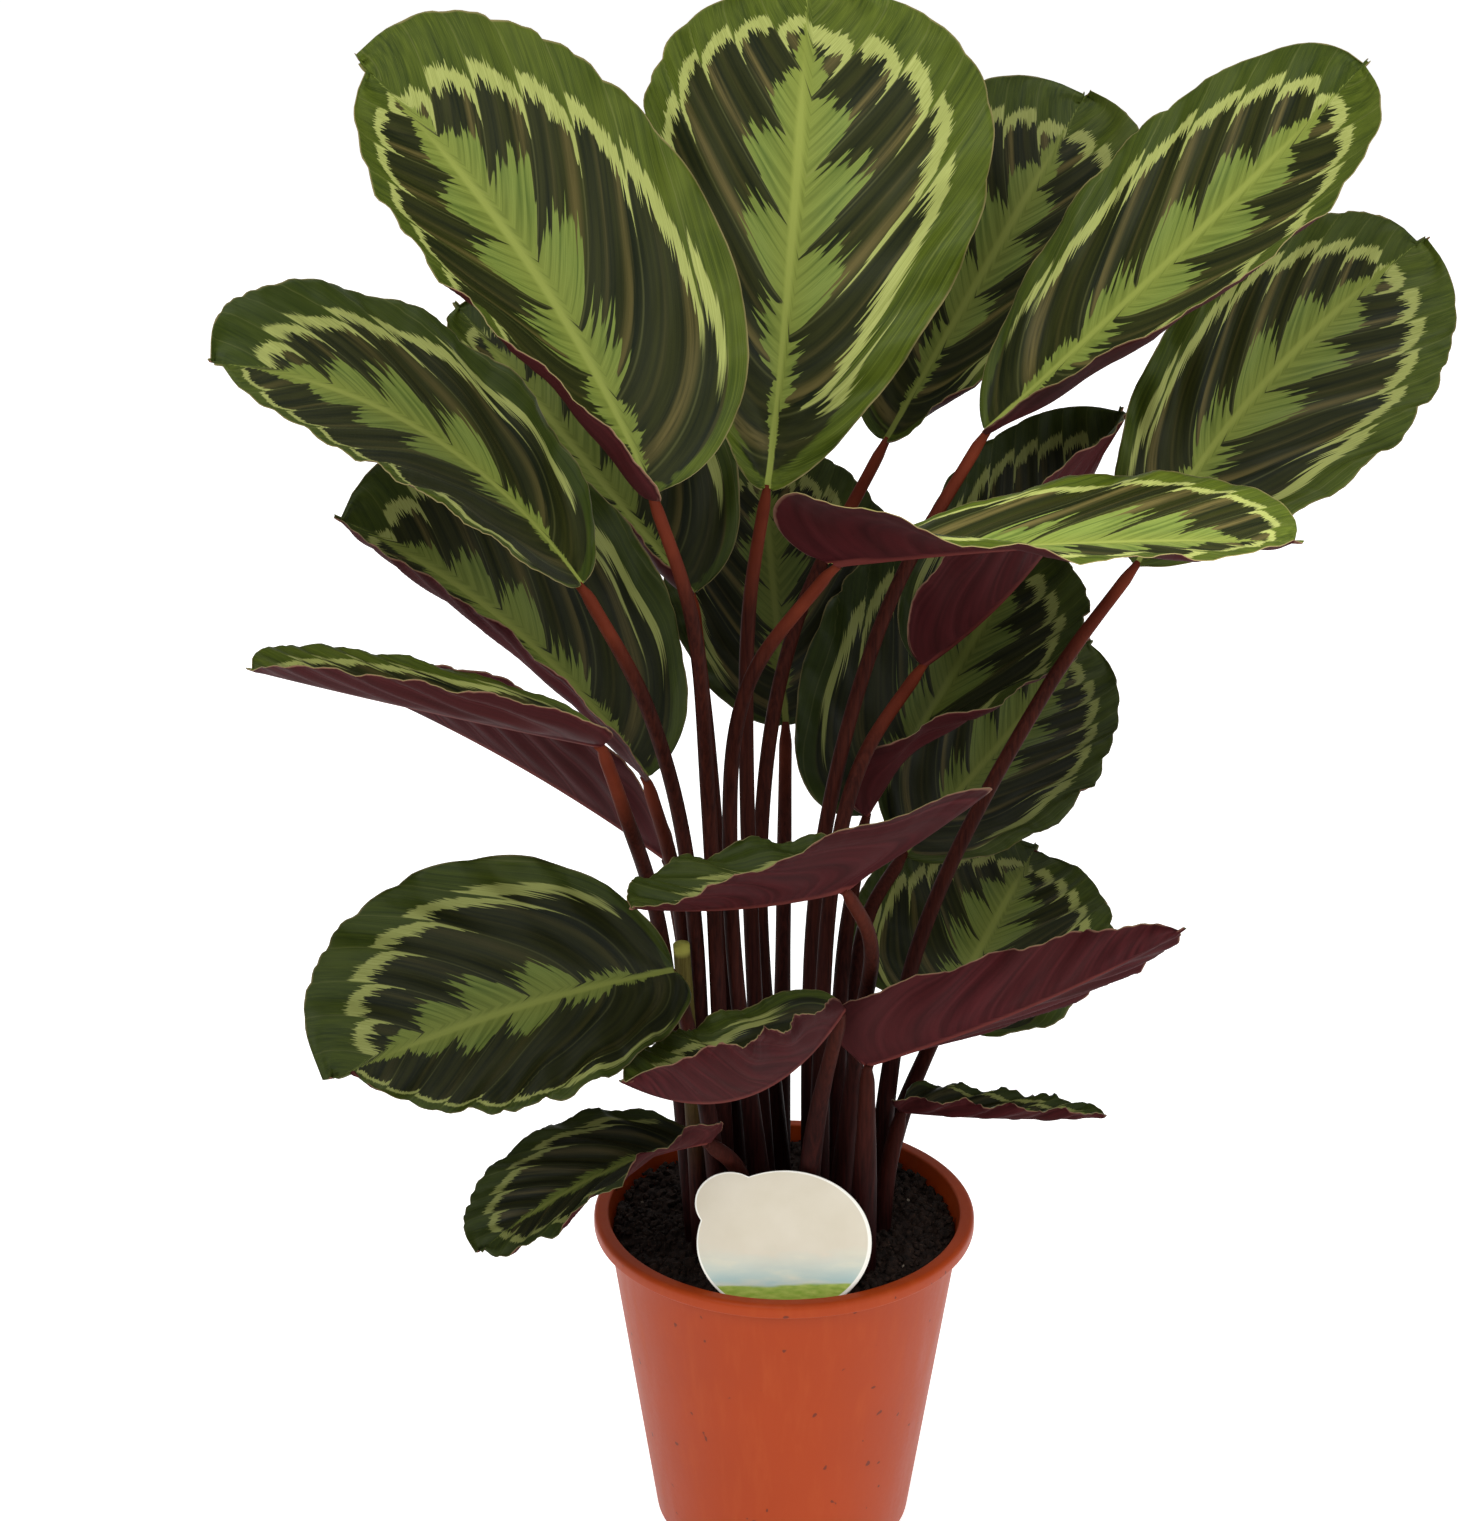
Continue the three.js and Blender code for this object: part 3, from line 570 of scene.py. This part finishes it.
def blade_waves(leaf, vein, S, Q, R):
    """How far the waves lift the surface, and how far the scallops move the margin."""
    height, count, phase = leaf["wave"]
    turn = 2 * np.pi * (count * (S - 0.25 * Q) + phase + 0.5 * R)
    calm = by_half(leaf["wavy"], R)
    wave = calm * height * Q ** 1.5 * np.sin(np.pi * np.clip(S, 0, 1)) ** 0.4 * np.sin(turn)
    crest = np.cos(2 * np.pi * vein)
    wave = wave + CREST * crest * smoothstep(0.03, 0.3, Q) * np.sin(np.pi * S) ** 0.5
    ripple = 0.5 * np.sin(2 * np.pi * (17 * S + 3 * phase + 0.3 * R))
    ripple = ripple + 0.4 * np.sin(2 * np.pi * 29 * S)
    rough = (0.3 + 0.7 * calm) * np.sin(np.pi * S) ** 0.5
    wave = wave + rough * ripple * Q ** 6
    here = 0.5 + 0.5 * np.sin(2 * np.pi * (1.6 * S + 2 * phase + 0.4 * R))
    wide = np.abs(np.sin(np.pi * vein))
    narrow = np.abs(np.sin(2 * np.pi * vein))
    nick = NICK * rough * (here * narrow + wide - 0.9) * Q ** 5
    return wave, nick


def blade_surface(leaf, rng):
    """Middle surface of the blade on a fine grid, and the fields on it."""
    base, span, over, across = blade_axes(leaf)
    length = float(np.linalg.norm(span))
    part = np.linspace(0, 1, BLADE_ROWS + 1)
    s = 0.5 * part + 0.25 * (1 - np.cos(np.pi * part))
    signed = np.linspace(-1, 1, 2 * BLADE_COLUMNS + 1)
    sag = (4 * s * (1 - s))[:, None]
    slope = (4 * (1 - 2 * s))[:, None]
    mid = base + span * s[:, None] + sag * (leaf["arch"] * over + leaf["bend"] * across)
    ahead = unit(span + slope * (leaf["arch"] * over + leaf["bend"] * across))
    top = unit(over - (ahead @ over)[:, None] * ahead)
    side = np.cross(ahead, top)

    # on the grid: part of the length, part of the half width, and whether on the right
    S, Q = np.meshgrid(s, np.abs(signed) ** 0.9, indexing="ij")
    R = np.broadcast_to(signed > 0, S.shape)
    sign = np.where(R, 1.0, -1.0)
    ease = (1 - S) ** leaf["ease"]

    def pick(index):
        return np.where(R, leaf["right"][index], leaf["left"][index])

    fold = np.radians(pick(1) + (pick(0) - pick(1)) * ease)
    roll = np.radians(pick(3) + (pick(2) - pick(3)) * ease)
    roll = np.where(np.abs(roll) < 1e-3, 1e-3, roll)
    out = (np.sin(fold + roll * Q) - np.sin(fold)) / roll
    rise = (np.cos(fold) - np.cos(fold + roll * Q)) / roll
    fields = blade_fields(leaf, S, Q, R, length, rng)
    half = half_width(leaf, S) * pick(4)
    wave, nick = blade_waves(leaf, fields["vein"], S, Q, R)
    tilt = fold + roll * Q
    lobe = by_half(leaf["lobe"], R) * (1 - S) ** 3 * np.sqrt(S + END_SWING)
    shoulder = by_half(leaf["shoulder"], R) * S ** 3 * np.sqrt(1 - S + END_SWING)
    back = SWEEP * Q * (lobe - shoulder)
    sideways = sign * (half * out - wave * np.sin(tilt) + nick * np.cos(tilt))
    upward = half * rise + wave * np.cos(tilt) + nick * np.sin(tilt)
    points = mid[:, None] + side[:, None] * sideways[..., None]
    points = points + top[:, None] * upward[..., None] - ahead[:, None] * back[..., None]
    return points, fields, half * Q


def blade_faces(rows, columns):
    """Upper and lower faces, then the thin edge all round. Upper points are even, lower odd."""
    wide = columns + 1

    def quads(*corners):
        points = [2 * (row * wide + column) + low for row, column, low in corners]
        return np.stack(points, -1).reshape(-1, 4)

    i, j = np.meshgrid(np.arange(rows), np.arange(columns), indexing="ij")
    a, b = np.arange(rows), np.arange(columns)
    faces = [
        quads((i, j, 0), (i, j + 1, 0), (i + 1, j + 1, 0), (i + 1, j, 0)),
        quads((i, j, 1), (i + 1, j, 1), (i + 1, j + 1, 1), (i, j + 1, 1)),
        quads((a, 0, 0), (a + 1, 0, 0), (a + 1, 0, 1), (a, 0, 1)),
        quads((a, columns, 0), (a, columns, 1), (a + 1, columns, 1), (a + 1, columns, 0)),
        quads((0, b, 0), (0, b, 1), (0, b + 1, 1), (0, b + 1, 0)),
        quads((rows, b, 0), (rows, b + 1, 0), (rows, b + 1, 1), (rows, b, 1))]
    material_of = np.zeros(sum(map(len, faces)), int)
    material_of[rows * columns:2 * rows * columns] = 1
    return np.concatenate(faces), material_of


def make_blade(place, leaf, rng, materials):
    points, fields, from_rib = blade_surface(leaf, rng)
    onward = np.gradient(points, axis=0)
    sideways = np.gradient(points, axis=1)
    normal = unit(np.cross(sideways, onward))
    rib_depth = RIB_DEPTH * (1 - fields["along"]) ** 0.8 * np.exp(-(from_rib / 2.0) ** 2)
    thin = BLADE_THICK / 2 * (1 - 0.5 * fields["across"] ** 4)
    upper = points + normal * thin[..., None]
    lower = points - normal * (thin + rib_depth)[..., None]
    both = np.stack([upper, lower], 2).reshape(-1, 3)
    faces, material_of = blade_faces(points.shape[0] - 1, points.shape[1] - 1)
    obj = new_mesh(f"leaf_{place}", both, faces, material_of)
    for name, values in fields.items():
        point_values(obj, name, np.repeat(values.reshape(-1), 2))
    # painted light and shade for the whole leaf, and how much painted sheen it has
    for name in ("painted_light", "satin"):
        point_values(obj, name, np.full(len(both), leaf[name]))
    finish_piece(obj, f"blade_{place}", "leaf", *materials)


# Stalks

def curve_through(points, steps):
    """Centripetal Catmull-Rom curve through the points, as in the part's source."""
    knots = [np.array(p, float) for p in points]
    knots = [2 * knots[0] - knots[1]] + knots + [2 * knots[-1] - knots[-2]]
    spans = len(knots) - 3
    result = []
    for i in range(steps + 1):
        t = i / steps * spans
        k = min(int(t), spans - 1)
        f = t - k
        p0, p1, p2, p3 = knots[k:k + 4]
        d0, d1, d2 = (np.linalg.norm(b - a) ** 0.5 for a, b in ((p0, p1), (p1, p2), (p2, p3)))
        m1 = ((p1 - p0) / d0 - (p2 - p0) / (d0 + d1) + (p2 - p1) / d1) * d1
        m2 = ((p2 - p1) / d1 - (p3 - p1) / (d1 + d2) + (p3 - p2) / d2) * d1
        result.append(p1 + m1 * f + (3 * (p2 - p1) - 2 * m1 - m2) * f * f
                      + (2 * (p1 - p2) + m1 + m2) * f ** 3)
    return np.array(result)


def tube(name, centres, radii):
    """A closed tube with rings of STALK_SIDES points."""
    ahead = unit(np.gradient(centres, axis=0))
    a = unit(np.array([1.0, 0, 0]) - ahead[:, :1] * ahead)
    b = np.cross(ahead, a)
    turn = np.arange(STALK_SIDES) * 2 * np.pi / STALK_SIDES
    ring = np.cos(turn)[None, :, None] * a[:, None] + np.sin(turn)[None, :, None] * b[:, None]
    points = centres[:, None] + ring * radii[:, None, None]
    rings = len(centres)
    i, k = np.meshgrid(np.arange(rings - 1), np.arange(STALK_SIDES), indexing="ij")
    low = i * STALK_SIDES
    high = low + STALK_SIDES
    beside = (k + 1) % STALK_SIDES
    faces = np.stack([low + k, low + beside, high + beside, high + k], -1)
    faces = faces.reshape(-1, 4).tolist()
    faces.append(list(range(STALK_SIDES - 1, -1, -1)))
    faces.append(list(range((rings - 1) * STALK_SIDES, rings * STALK_SIDES)))
    return new_mesh(name, points.reshape(-1, 3), faces)


def stalk_material():
    """Dark maroon, browner above, with a red joint; the cut stem is green."""
    sh = Shader("stalk_skin", IOR=1.12)
    joint = sh.value("joint")
    high = sh.value("high")
    streak = sh.noise(sh.stretched(0.06), 700.0, 3.0, 0.6)
    soft = sh.noise(sh.place(), 45.0, 2.0)
    low = sh.mix(streak.above(0.5, 0.4), rgb(17, 5, 5), rgb(40, 13, 12))
    upper = sh.mix(streak.above(0.5, 0.4), rgb(36, 13, 10), rgb(62, 27, 19))
    skin = sh.mix(high.above(0.5, 1.0), low, upper)
    red = sh.mix(soft.above(0.5, 0.5), rgb(78, 29, 17), rgb(106, 46, 28))
    skin = sh.mix(joint, skin, red)
    green = sh.mix(streak.above(0.5, 0.4), rgb(66, 58, 26), rgb(92, 84, 40))
    skin = sh.mix(sh.value("stem"), skin, green)
    skin = sh.mix(sh.value("cut"), skin, rgb(158, 156, 74))
    sh.colour(skin)
    sh.roughness((soft - 0.5) * 0.2 + 0.6)
    sh.bump(streak, 0.35, 0.5)
    return sh.material


def make_stalk(place, leaf, material):
    """A stalk that thins upward from its sheath and runs into its blade."""
    end = lifted(leaf["base"])
    path = [lifted(p) for p in leaf["stalk"]]
    _, span, over, _ = blade_axes(leaf)
    centres = curve_through(path + [end], STALK_RINGS)
    centres[-1] = end + unit(span) * 1.2 - over * 0.8
    centres[-2] = (centres[-3] + centres[-1]) / 2
    steps = np.linalg.norm(np.diff(centres, axis=0), axis=1)
    to_end = np.concatenate([np.cumsum(steps[::-1])[::-1], [0]])
    height = centres[:, 2] - FOOT_HEIGHT
    radii = np.interp(height, STALK_HEIGHTS, (leaf["sheath"], *STALK_RADII))
    joint = 1 - smoothstep(0.5 * JOINT_LENGTH, 2 * JOINT_LENGTH, to_end)
    radii = radii * (1 - 0.1 * joint) * (0.62 + 0.38 * smoothstep(0, 12, to_end))
    obj = tube(f"stalk_{place}_skin", centres, radii)
    joint = joint * (0.12 + 0.88 * smoothstep(330, 460, height))
    point_values(obj, "joint", np.repeat(joint, STALK_SIDES))
    point_values(obj, "high", np.repeat(smoothstep(150, 420, height), STALK_SIDES))
    finish_piece(obj, f"stalk_{place}", "stalk", material)


def make_cut_stem(material):
    points, radius = CUT_STEM
    centres = curve_through([lifted(p) for p in points], STALK_RINGS)
    part = np.linspace(0, 1, len(centres))
    obj = tube("cut_stem_skin", centres, radius * (1 - 0.12 * part))
    point_values(obj, "joint", np.zeros(len(part) * STALK_SIDES))
    point_values(obj, "high", np.repeat(part, STALK_SIDES))
    point_values(obj, "stem", np.repeat(smoothstep(0.35, 0.9, part), STALK_SIDES))
    point_values(obj, "cut", np.repeat(smoothstep(0.975, 0.99, part), STALK_SIDES))
    finish_piece(obj, "cut_stem", "stalk", material)


# Pot

def lathe(profile, sides):
    """Points and faces of a profile turned round Z; profile ends may lie on the axis."""
    profile = np.array(profile, float)
    turn = np.arange(sides) * 2 * np.pi / sides
    points, index = [], []
    for r, z in profile:
        if r < 1e-6:
            index.append([len(points)] * sides)
            points.append((0, 0, z))
        else:
            index.append(list(range(len(points), len(points) + sides)))
            points += [(r * math.cos(a), r * math.sin(a), z) for a in turn]
    faces = []
    for low, high in zip(index, index[1:]):
        for k in range(sides):
            loop = [low[k], low[(k + 1) % sides], high[(k + 1) % sides], high[k]]
            face = list(dict.fromkeys(loop))
            if len(face) > 2:
                faces.append(face)
    return points, faces


def wall_radius(z):
    part = (z - FOOT_HEIGHT) / (WALL_TOP - FOOT_HEIGHT)
    return WALL_BOTTOM_RADIUS + (WALL_TOP_RADIUS - WALL_BOTTOM_RADIUS) * part


def arc(cx, cz, radius, start, stop, steps):
    turns = np.radians(np.linspace(start, stop, steps + 1))
    return [(cx + radius * math.cos(a), cz + radius * math.sin(a)) for a in turns]


def pot_plastic():
    sh = Shader("terracotta_plastic", Specular_IOR_Level=0.18)
    where = sh.place()
    cloud = sh.noise(where, 9.0, 3.0)
    grain = sh.noise(where, 420.0, 2.0)
    scuff = sh.noise(sh.stretched(0.1), 120.0, 4.0, 0.65)
    dirt = sh.noise(where, 160.0, 1.0)
    base = sh.mix(cloud.above(0.5, 0.5), rgb(149, 52, 5), rgb(160, 58, 9))
    base = sh.mix(scuff.above(0.62, 0.25) * 0.35, base, rgb(168, 75, 30))
    base = sh.mix(dirt.above(0.755, 0.02) * 0.8, base, rgb(84, 36, 24))
    sh.colour(base)
    sh.roughness((scuff - 0.5) * 0.25 + (grain - 0.5) * 0.1 + 0.48)
    sh.bump(grain * 0.3 + cloud, 0.25, 0.35)
    return sh.material


def make_pot(material):
    skirt = LIP_RADIUS - 1.7
    under = LIP_TOP - 2
    rim = wall_radius(LIP_TOP)
    profile = [(0, 0), (FOOT_RADIUS - 1.8, 0)]
    profile += arc(FOOT_RADIUS - 1.8, 1.8, 1.8, -90, -28, 5)
    profile += [(WALL_BOTTOM_RADIUS - 0.7, FOOT_HEIGHT - 1.2)]
    profile += [(WALL_BOTTOM_RADIUS - 0.1, FOOT_HEIGHT - 0.1)]
    profile += [(wall_radius(z), z) for z in np.linspace(FOOT_HEIGHT + 1.2, WALL_TOP, 12)]
    profile += [(wall_radius(under) + 0.2, under - 0.8), (wall_radius(under) + 1.2, under)]
    profile += [(skirt - 1.0, under), (skirt, under - 1.0), (skirt, LIP_TOP - LIP_DEPTH + 0.3)]
    profile += arc((skirt + LIP_RADIUS) / 2, LIP_TOP - LIP_DEPTH + 0.85, 0.85, 180, 360, 6)
    profile += arc(LIP_RADIUS - 2.6, LIP_TOP - 2.6, 2.6, 0, 90, 7)
    profile += arc(rim - WALL + 1.2, LIP_TOP - 1.2, 1.2, 90, 180, 5)
    profile += [(wall_radius(z) - WALL, z) for z in np.linspace(LIP_TOP - 5, FOOT_HEIGHT + 0.4, 8)]
    profile += [(FOOT_RADIUS - 1.4, FLOOR), (0, FLOOR)]
    points, faces = lathe(profile, POT_SIDES)
    obj = new_mesh("pot_shell", points, faces)
    for k in range(DRAIN_COUNT):
        turn = 2 * math.pi * (k + 0.5) / DRAIN_COUNT
        bpy.ops.mesh.primitive_cylinder_add(
            vertices=32, radius=DRAIN_RADIUS * MM, depth=10 * MM,
            location=(DRAIN_CIRCLE * MM * math.cos(turn), DRAIN_CIRCLE * MM * math.sin(turn), 0))
        cutter = bpy.context.object
        cut = obj.modifiers.new("drain", "BOOLEAN")
        cut.object = cutter
        bpy.context.view_layer.objects.active = obj
        bpy.ops.object.modifier_apply(modifier=cut.name)
        bpy.data.objects.remove(cutter)
    finish_piece(obj, "pot", "pot_plastic", material)


# Soil

def soil_relief(x, y):
    return SOIL_RELIEF * (np.sin(x * 0.11 + y * 0.05 + 0.7) * np.cos(y * 0.09 - x * 0.03)
                          + 0.5 * np.sin(x * 0.23 - y * 0.17))


def soil_material():
    sh = Shader("potting_mix", Roughness=0.9, Specular_IOR_Level=0.25)
    where = sh.place()
    lumps = sh.noise(where, 260.0, 4.0, 0.65)
    fibre = sh.noise(where, 900.0, 3.0)
    base = sh.mix(lumps.above(0.5, 0.35), rgb(17, 11, 8), rgb(44, 29, 21))
    base = sh.mix(fibre.above(0.66, 0.08) * 0.6, base, rgb(84, 60, 44))
    sh.colour(base)
    sh.roughness((fibre - 0.5) * 0.2 + 0.86)
    sh.bump(lumps + fibre * 0.4, 1.2, 0.9)
    return sh.material


def perlite_material():
    sh = Shader("perlite_grain", Roughness=0.8)
    where = sh.place()
    pores = sh.noise(where, 1500.0, 3.0)
    sh.colour(sh.mix(pores.above(0.5, 0.4), rgb(96, 84, 70), rgb(150, 138, 122)))
    sh.bump(pores, 0.4, 0.7)
    return sh.material


def grain_points(rng, radius):
    """An irregular lump: an icosahedron with uneven corners."""
    g = (1 + 5 ** 0.5) / 2
    corners = np.array([
        (-1, g, 0), (1, g, 0), (-1, -g, 0), (1, -g, 0), (0, -1, g), (0, 1, g),
        (0, -1, -g), (0, 1, -g), (g, 0, -1), (g, 0, 1), (-g, 0, -1), (-g, 0, 1)], float)
    corners = unit(corners) * radius * rng.uniform(0.65, 1.25, (12, 1))
    squash = rng.uniform(0.55, 1.2, 3)
    q, _ = np.linalg.qr(rng.normal(size=(3, 3)))
    return (corners * squash) @ q


GRAIN_FACES = np.array([
    (0, 11, 5), (0, 5, 1), (0, 1, 7), (0, 7, 10), (0, 10, 11),
    (1, 5, 9), (5, 11, 4), (11, 10, 2), (10, 7, 6), (7, 1, 8),
    (3, 9, 4), (3, 4, 2), (3, 2, 6), (3, 6, 8), (3, 8, 9),
    (4, 9, 5), (2, 4, 11), (6, 2, 10), (8, 6, 7), (9, 8, 1)])


def grains(name, rng, count, sizes, lift, material, slot):
    """Loose lumps on the soil, in one mesh."""
    points, faces = [], []
    for k in range(count):
        r = SCATTER_RADIUS * math.sqrt(rng.uniform(0, 1))
        a = rng.uniform(0, 2 * math.pi)
        x, y = r * math.cos(a), r * math.sin(a)
        size = rng.uniform(*sizes) * rng.uniform(0.6, 1.0)
        room = wall_radius(SOIL_TOP) - WALL - 0.4 - size * 1.3
        if r > room:
            x, y = x * room / r, y * room / r
        z = SOIL_TOP + float(soil_relief(x, y)) + size * lift
        faces.append(GRAIN_FACES + 12 * k)
        points.append(grain_points(rng, size) + (x, y, z))
    obj = new_mesh(name, np.concatenate(points), np.concatenate(faces), smooth=False)
    finish_piece(obj, None, slot, material)


def make_soil(material, perlite):
    rng = np.random.default_rng(SEED)
    inner = wall_radius(SOIL_TOP - 4) - WALL - SOIL_GAP
    profile = [(0, FLOOR + SOIL_GAP), (FOOT_RADIUS - 2, FLOOR + SOIL_GAP),
               (wall_radius(FOOT_HEIGHT) - WALL - 0.55, FOOT_HEIGHT + 0.4), (inner, SOIL_TOP - 4)]
    profile += [(r, SOIL_TOP - 2.2 * (r / inner) ** 14) for r in np.linspace(inner - 0.3, 0, 46)]
    points, faces = lathe(profile, SOIL_SIDES)
    points = np.array(points)
    x, y, z = points.T
    top = z > SOIL_TOP - 3
    rough = rng.normal(0, 0.45, len(points))
    points[:, 2] = np.where(top, z + soil_relief(x, y) + rough, z)
    obj = new_mesh("soil_body", points, faces)
    finish_piece(obj, "potting_soil", "soil", material)
    grains("soil_lumps", rng, LUMP_COUNT, (0.9, 3.4), 0.25, material, "soil")
    grains("soil_perlite", rng, PERLITE_COUNT, (0.6, 1.3), 0.6, perlite, "soil")


# Label

def oval_reach(oval, origin, turn):
    """Distance from origin to the oval's edge along each direction."""
    cx, cy, wide, tall = oval
    ox, oy = (origin[0] - cx) / wide, (origin[1] - cy) / tall
    dx, dy = np.cos(turn) / wide, np.sin(turn) / tall
    a = dx ** 2 + dy ** 2
    b = ox * dx + oy * dy
    c = ox ** 2 + oy ** 2 - 1
    return (-b + np.sqrt(b * b - a * c)) / a


def label_material():
    """A plain pale card: warm cream above, soft sky and a green band below."""
    sh = Shader("label_print", Roughness=0.38)
    x = sh.value("card_x")
    y = sh.value("card_y")
    rim = sh.value("card_rim")
    where = sh.vector(x, y)
    cloud = sh.noise(where, 0.045, 3.0)
    wisp = sh.noise(sh.vector(x * 0.04, y * 0.14), 1.0, 3.0)
    meadow = sh.noise(sh.vector(x * 0.16, y * 0.5), 1.0, 3.0)
    cream = sh.mix(cloud.above(0.5, 0.5), rgb(202, 193, 172), rgb(212, 204, 186))
    sky = sh.mix(wisp.above(0.48, 0.3), rgb(156, 190, 190), rgb(204, 206, 188))
    band = (y * -0.06 + 1.55 + (wisp - 0.5) * 1.4).above(0.5, 0.8)
    paint = sh.mix(band, cream, sky)
    green = sh.mix(meadow.above(0.5, 0.4), rgb(128, 160, 50), rgb(176, 192, 92))
    hill = ((y * -1.0) + 6.5 + (wisp - 0.5) * 6.0 + x * 0.03).above(0.0, 1.2)
    paint = sh.mix(hill, paint, green)
    paint = sh.mix(rim.above(0.5, 0.2), paint, rgb(238, 236, 226))
    sh.colour(paint)
    sh.bump(cloud, 0.1, 0.2)
    return sh.material


def label_faces(rings, count):
    """Faces of the card: front, back and edge. Each side is rings of points and a middle point."""
    half = rings * count + 1
    outer = (rings - 1) * count
    faces = []
    for start, step in ((0, 1), (half, -1)):
        for k in range(count):
            beside = (k + 1) % count
            faces.append([start + rings * count, start + k, start + beside][::step])
            for a in range(start, start + outer, count):
                faces.append([a + k, a + count + k, a + count + beside, a + beside][::step])
    for k in range(count):
        beside = (k + 1) % count
        faces.append([outer + k, half + outer + k, half + outer + beside, outer + beside])
    return faces


def make_label(material):
    """The card, bent back a little at both sides and leaning back in the soil."""
    turn = np.arange(CARD_SIDES) * 2 * np.pi / CARD_SIDES
    reach = np.maximum(oval_reach(CARD_OVAL, CARD_MIDDLE, turn),
                       oval_reach(CARD_LOBE, CARD_MIDDLE, turn))
    lean = Matrix.Rotation(math.radians(90 - CARD_LEAN), 4, "X")
    x, y = CARD_MIDDLE
    spots = [(x + r * shell * math.cos(a), y + r * shell * math.sin(a), shell > 0.97)
             for shell in CARD_SHELLS for a, r in zip(turn, reach)]
    spots.append((x, y, False))
    points = []
    for depth in (CARD_THICK / 2, -CARD_THICK / 2):
        for x, y, _ in spots:
            bent = Vector((x, y, depth - CARD_BEND * x * x))
            points.append(tuple(lean @ bent + Vector(CARD_FOOT)))
    obj = new_mesh("label_card", points, label_faces(len(CARD_SHELLS), CARD_SIDES))
    for name, values in zip(("card_x", "card_y", "card_rim"), zip(*spots)):
        point_values(obj, name, values * 2)
    finish_piece(obj, "plant_label", "label_card", material)


# Stage, light and camera

def make_stage():
    bpy.ops.mesh.primitive_plane_add(size=400)
    floor = bpy.context.object
    floor.name = "studio_floor"
    sh = Shader("studio_paper", Roughness=0.9, Specular_IOR_Level=0.1, Emission_Strength=0.7)
    sh.surface.inputs["Emission Color"].default_value = (1, 1, 1, 1)
    soft = sh.noise(sh.place(), 0.8, 2.0)
    sh.colour(sh.mix(soft.above(0.5, 1.0), rgb(246, 246, 246), rgb(250, 250, 250)))
    floor.data.materials.append(sh.material)


def area_light(name, place, target, size, power):
    data = bpy.data.lights.new(name, "AREA")
    data.shape = "RECTANGLE"
    data.size, data.size_y = size
    data.energy = power
    light = bpy.data.objects.new(name, data)
    light.location = place
    light.rotation_euler = (Vector(target) - Vector(place)).to_track_quat("-Z", "Y").to_euler()
    bpy.context.scene.collection.objects.link(light)
    return light


def make_light():
    world = bpy.data.worlds.new("studio")
    world.use_nodes = True
    tree = world.node_tree
    background = tree.nodes["Background"]
    background.inputs["Color"].default_value = (1.0, 1.0, 1.0, 1)
    seen = Signal(tree, tree.nodes.new("ShaderNodeLightPath").outputs["Is Camera Ray"])
    tree.links.new((seen * (1 - AMBIENT) + AMBIENT).socket, background.inputs["Strength"])
    bpy.context.scene.world = world
    area_light("key", (-0.9, -2.0, 2.2), (0, 0, 0.45), (1.6, 1.2), 36)
    area_light("fill", (1.6, -1.5, 1.2), (0, 0, 0.4), (1.2, 1.2), 13)
    area_light("overhead", (0.2, 0.1, 2.6), (0, 0, 0.4), (1.8, 1.8), 26)
    behind = area_light("behind", (0.3, 2.4, 1.3), (0, 0, 0.4), (1.8, 1.4), 10)
    behind.visible_glossy = False


def make_camera():
    data = bpy.data.cameras.new("camera")
    data.sensor_fit = "VERTICAL"
    data.sensor_height = SENSOR
    data.lens = FOCAL_PIXELS / PHOTO_HEIGHT * SENSOR
    camera = bpy.data.objects.new("camera", data)
    camera.location = CAMERA_PLACE
    camera.rotation_euler = (math.radians(90 - CAMERA_PITCH), 0, 0)
    bpy.context.scene.collection.objects.link(camera)
    bpy.context.scene.camera = camera


# Everything together

bpy.context.scene.view_settings.view_transform = "Standard"
make_camera()
make_light()
make_stage()
leaf_skins = (leaf_upper(), leaf_under())
stalk_skin = stalk_material()
for order, (place, row) in enumerate(LEAVES.items()):
    leaf = {**PLAIN, **row}
    rng = np.random.default_rng(SEED + order)
    make_blade(place, leaf, rng, leaf_skins)
    make_stalk(place, leaf, stalk_skin)
make_cut_stem(stalk_skin)
make_pot(pot_plastic())
make_soil(soil_material(), perlite_material())
make_label(label_material())

bpy.context.view_layer.update()
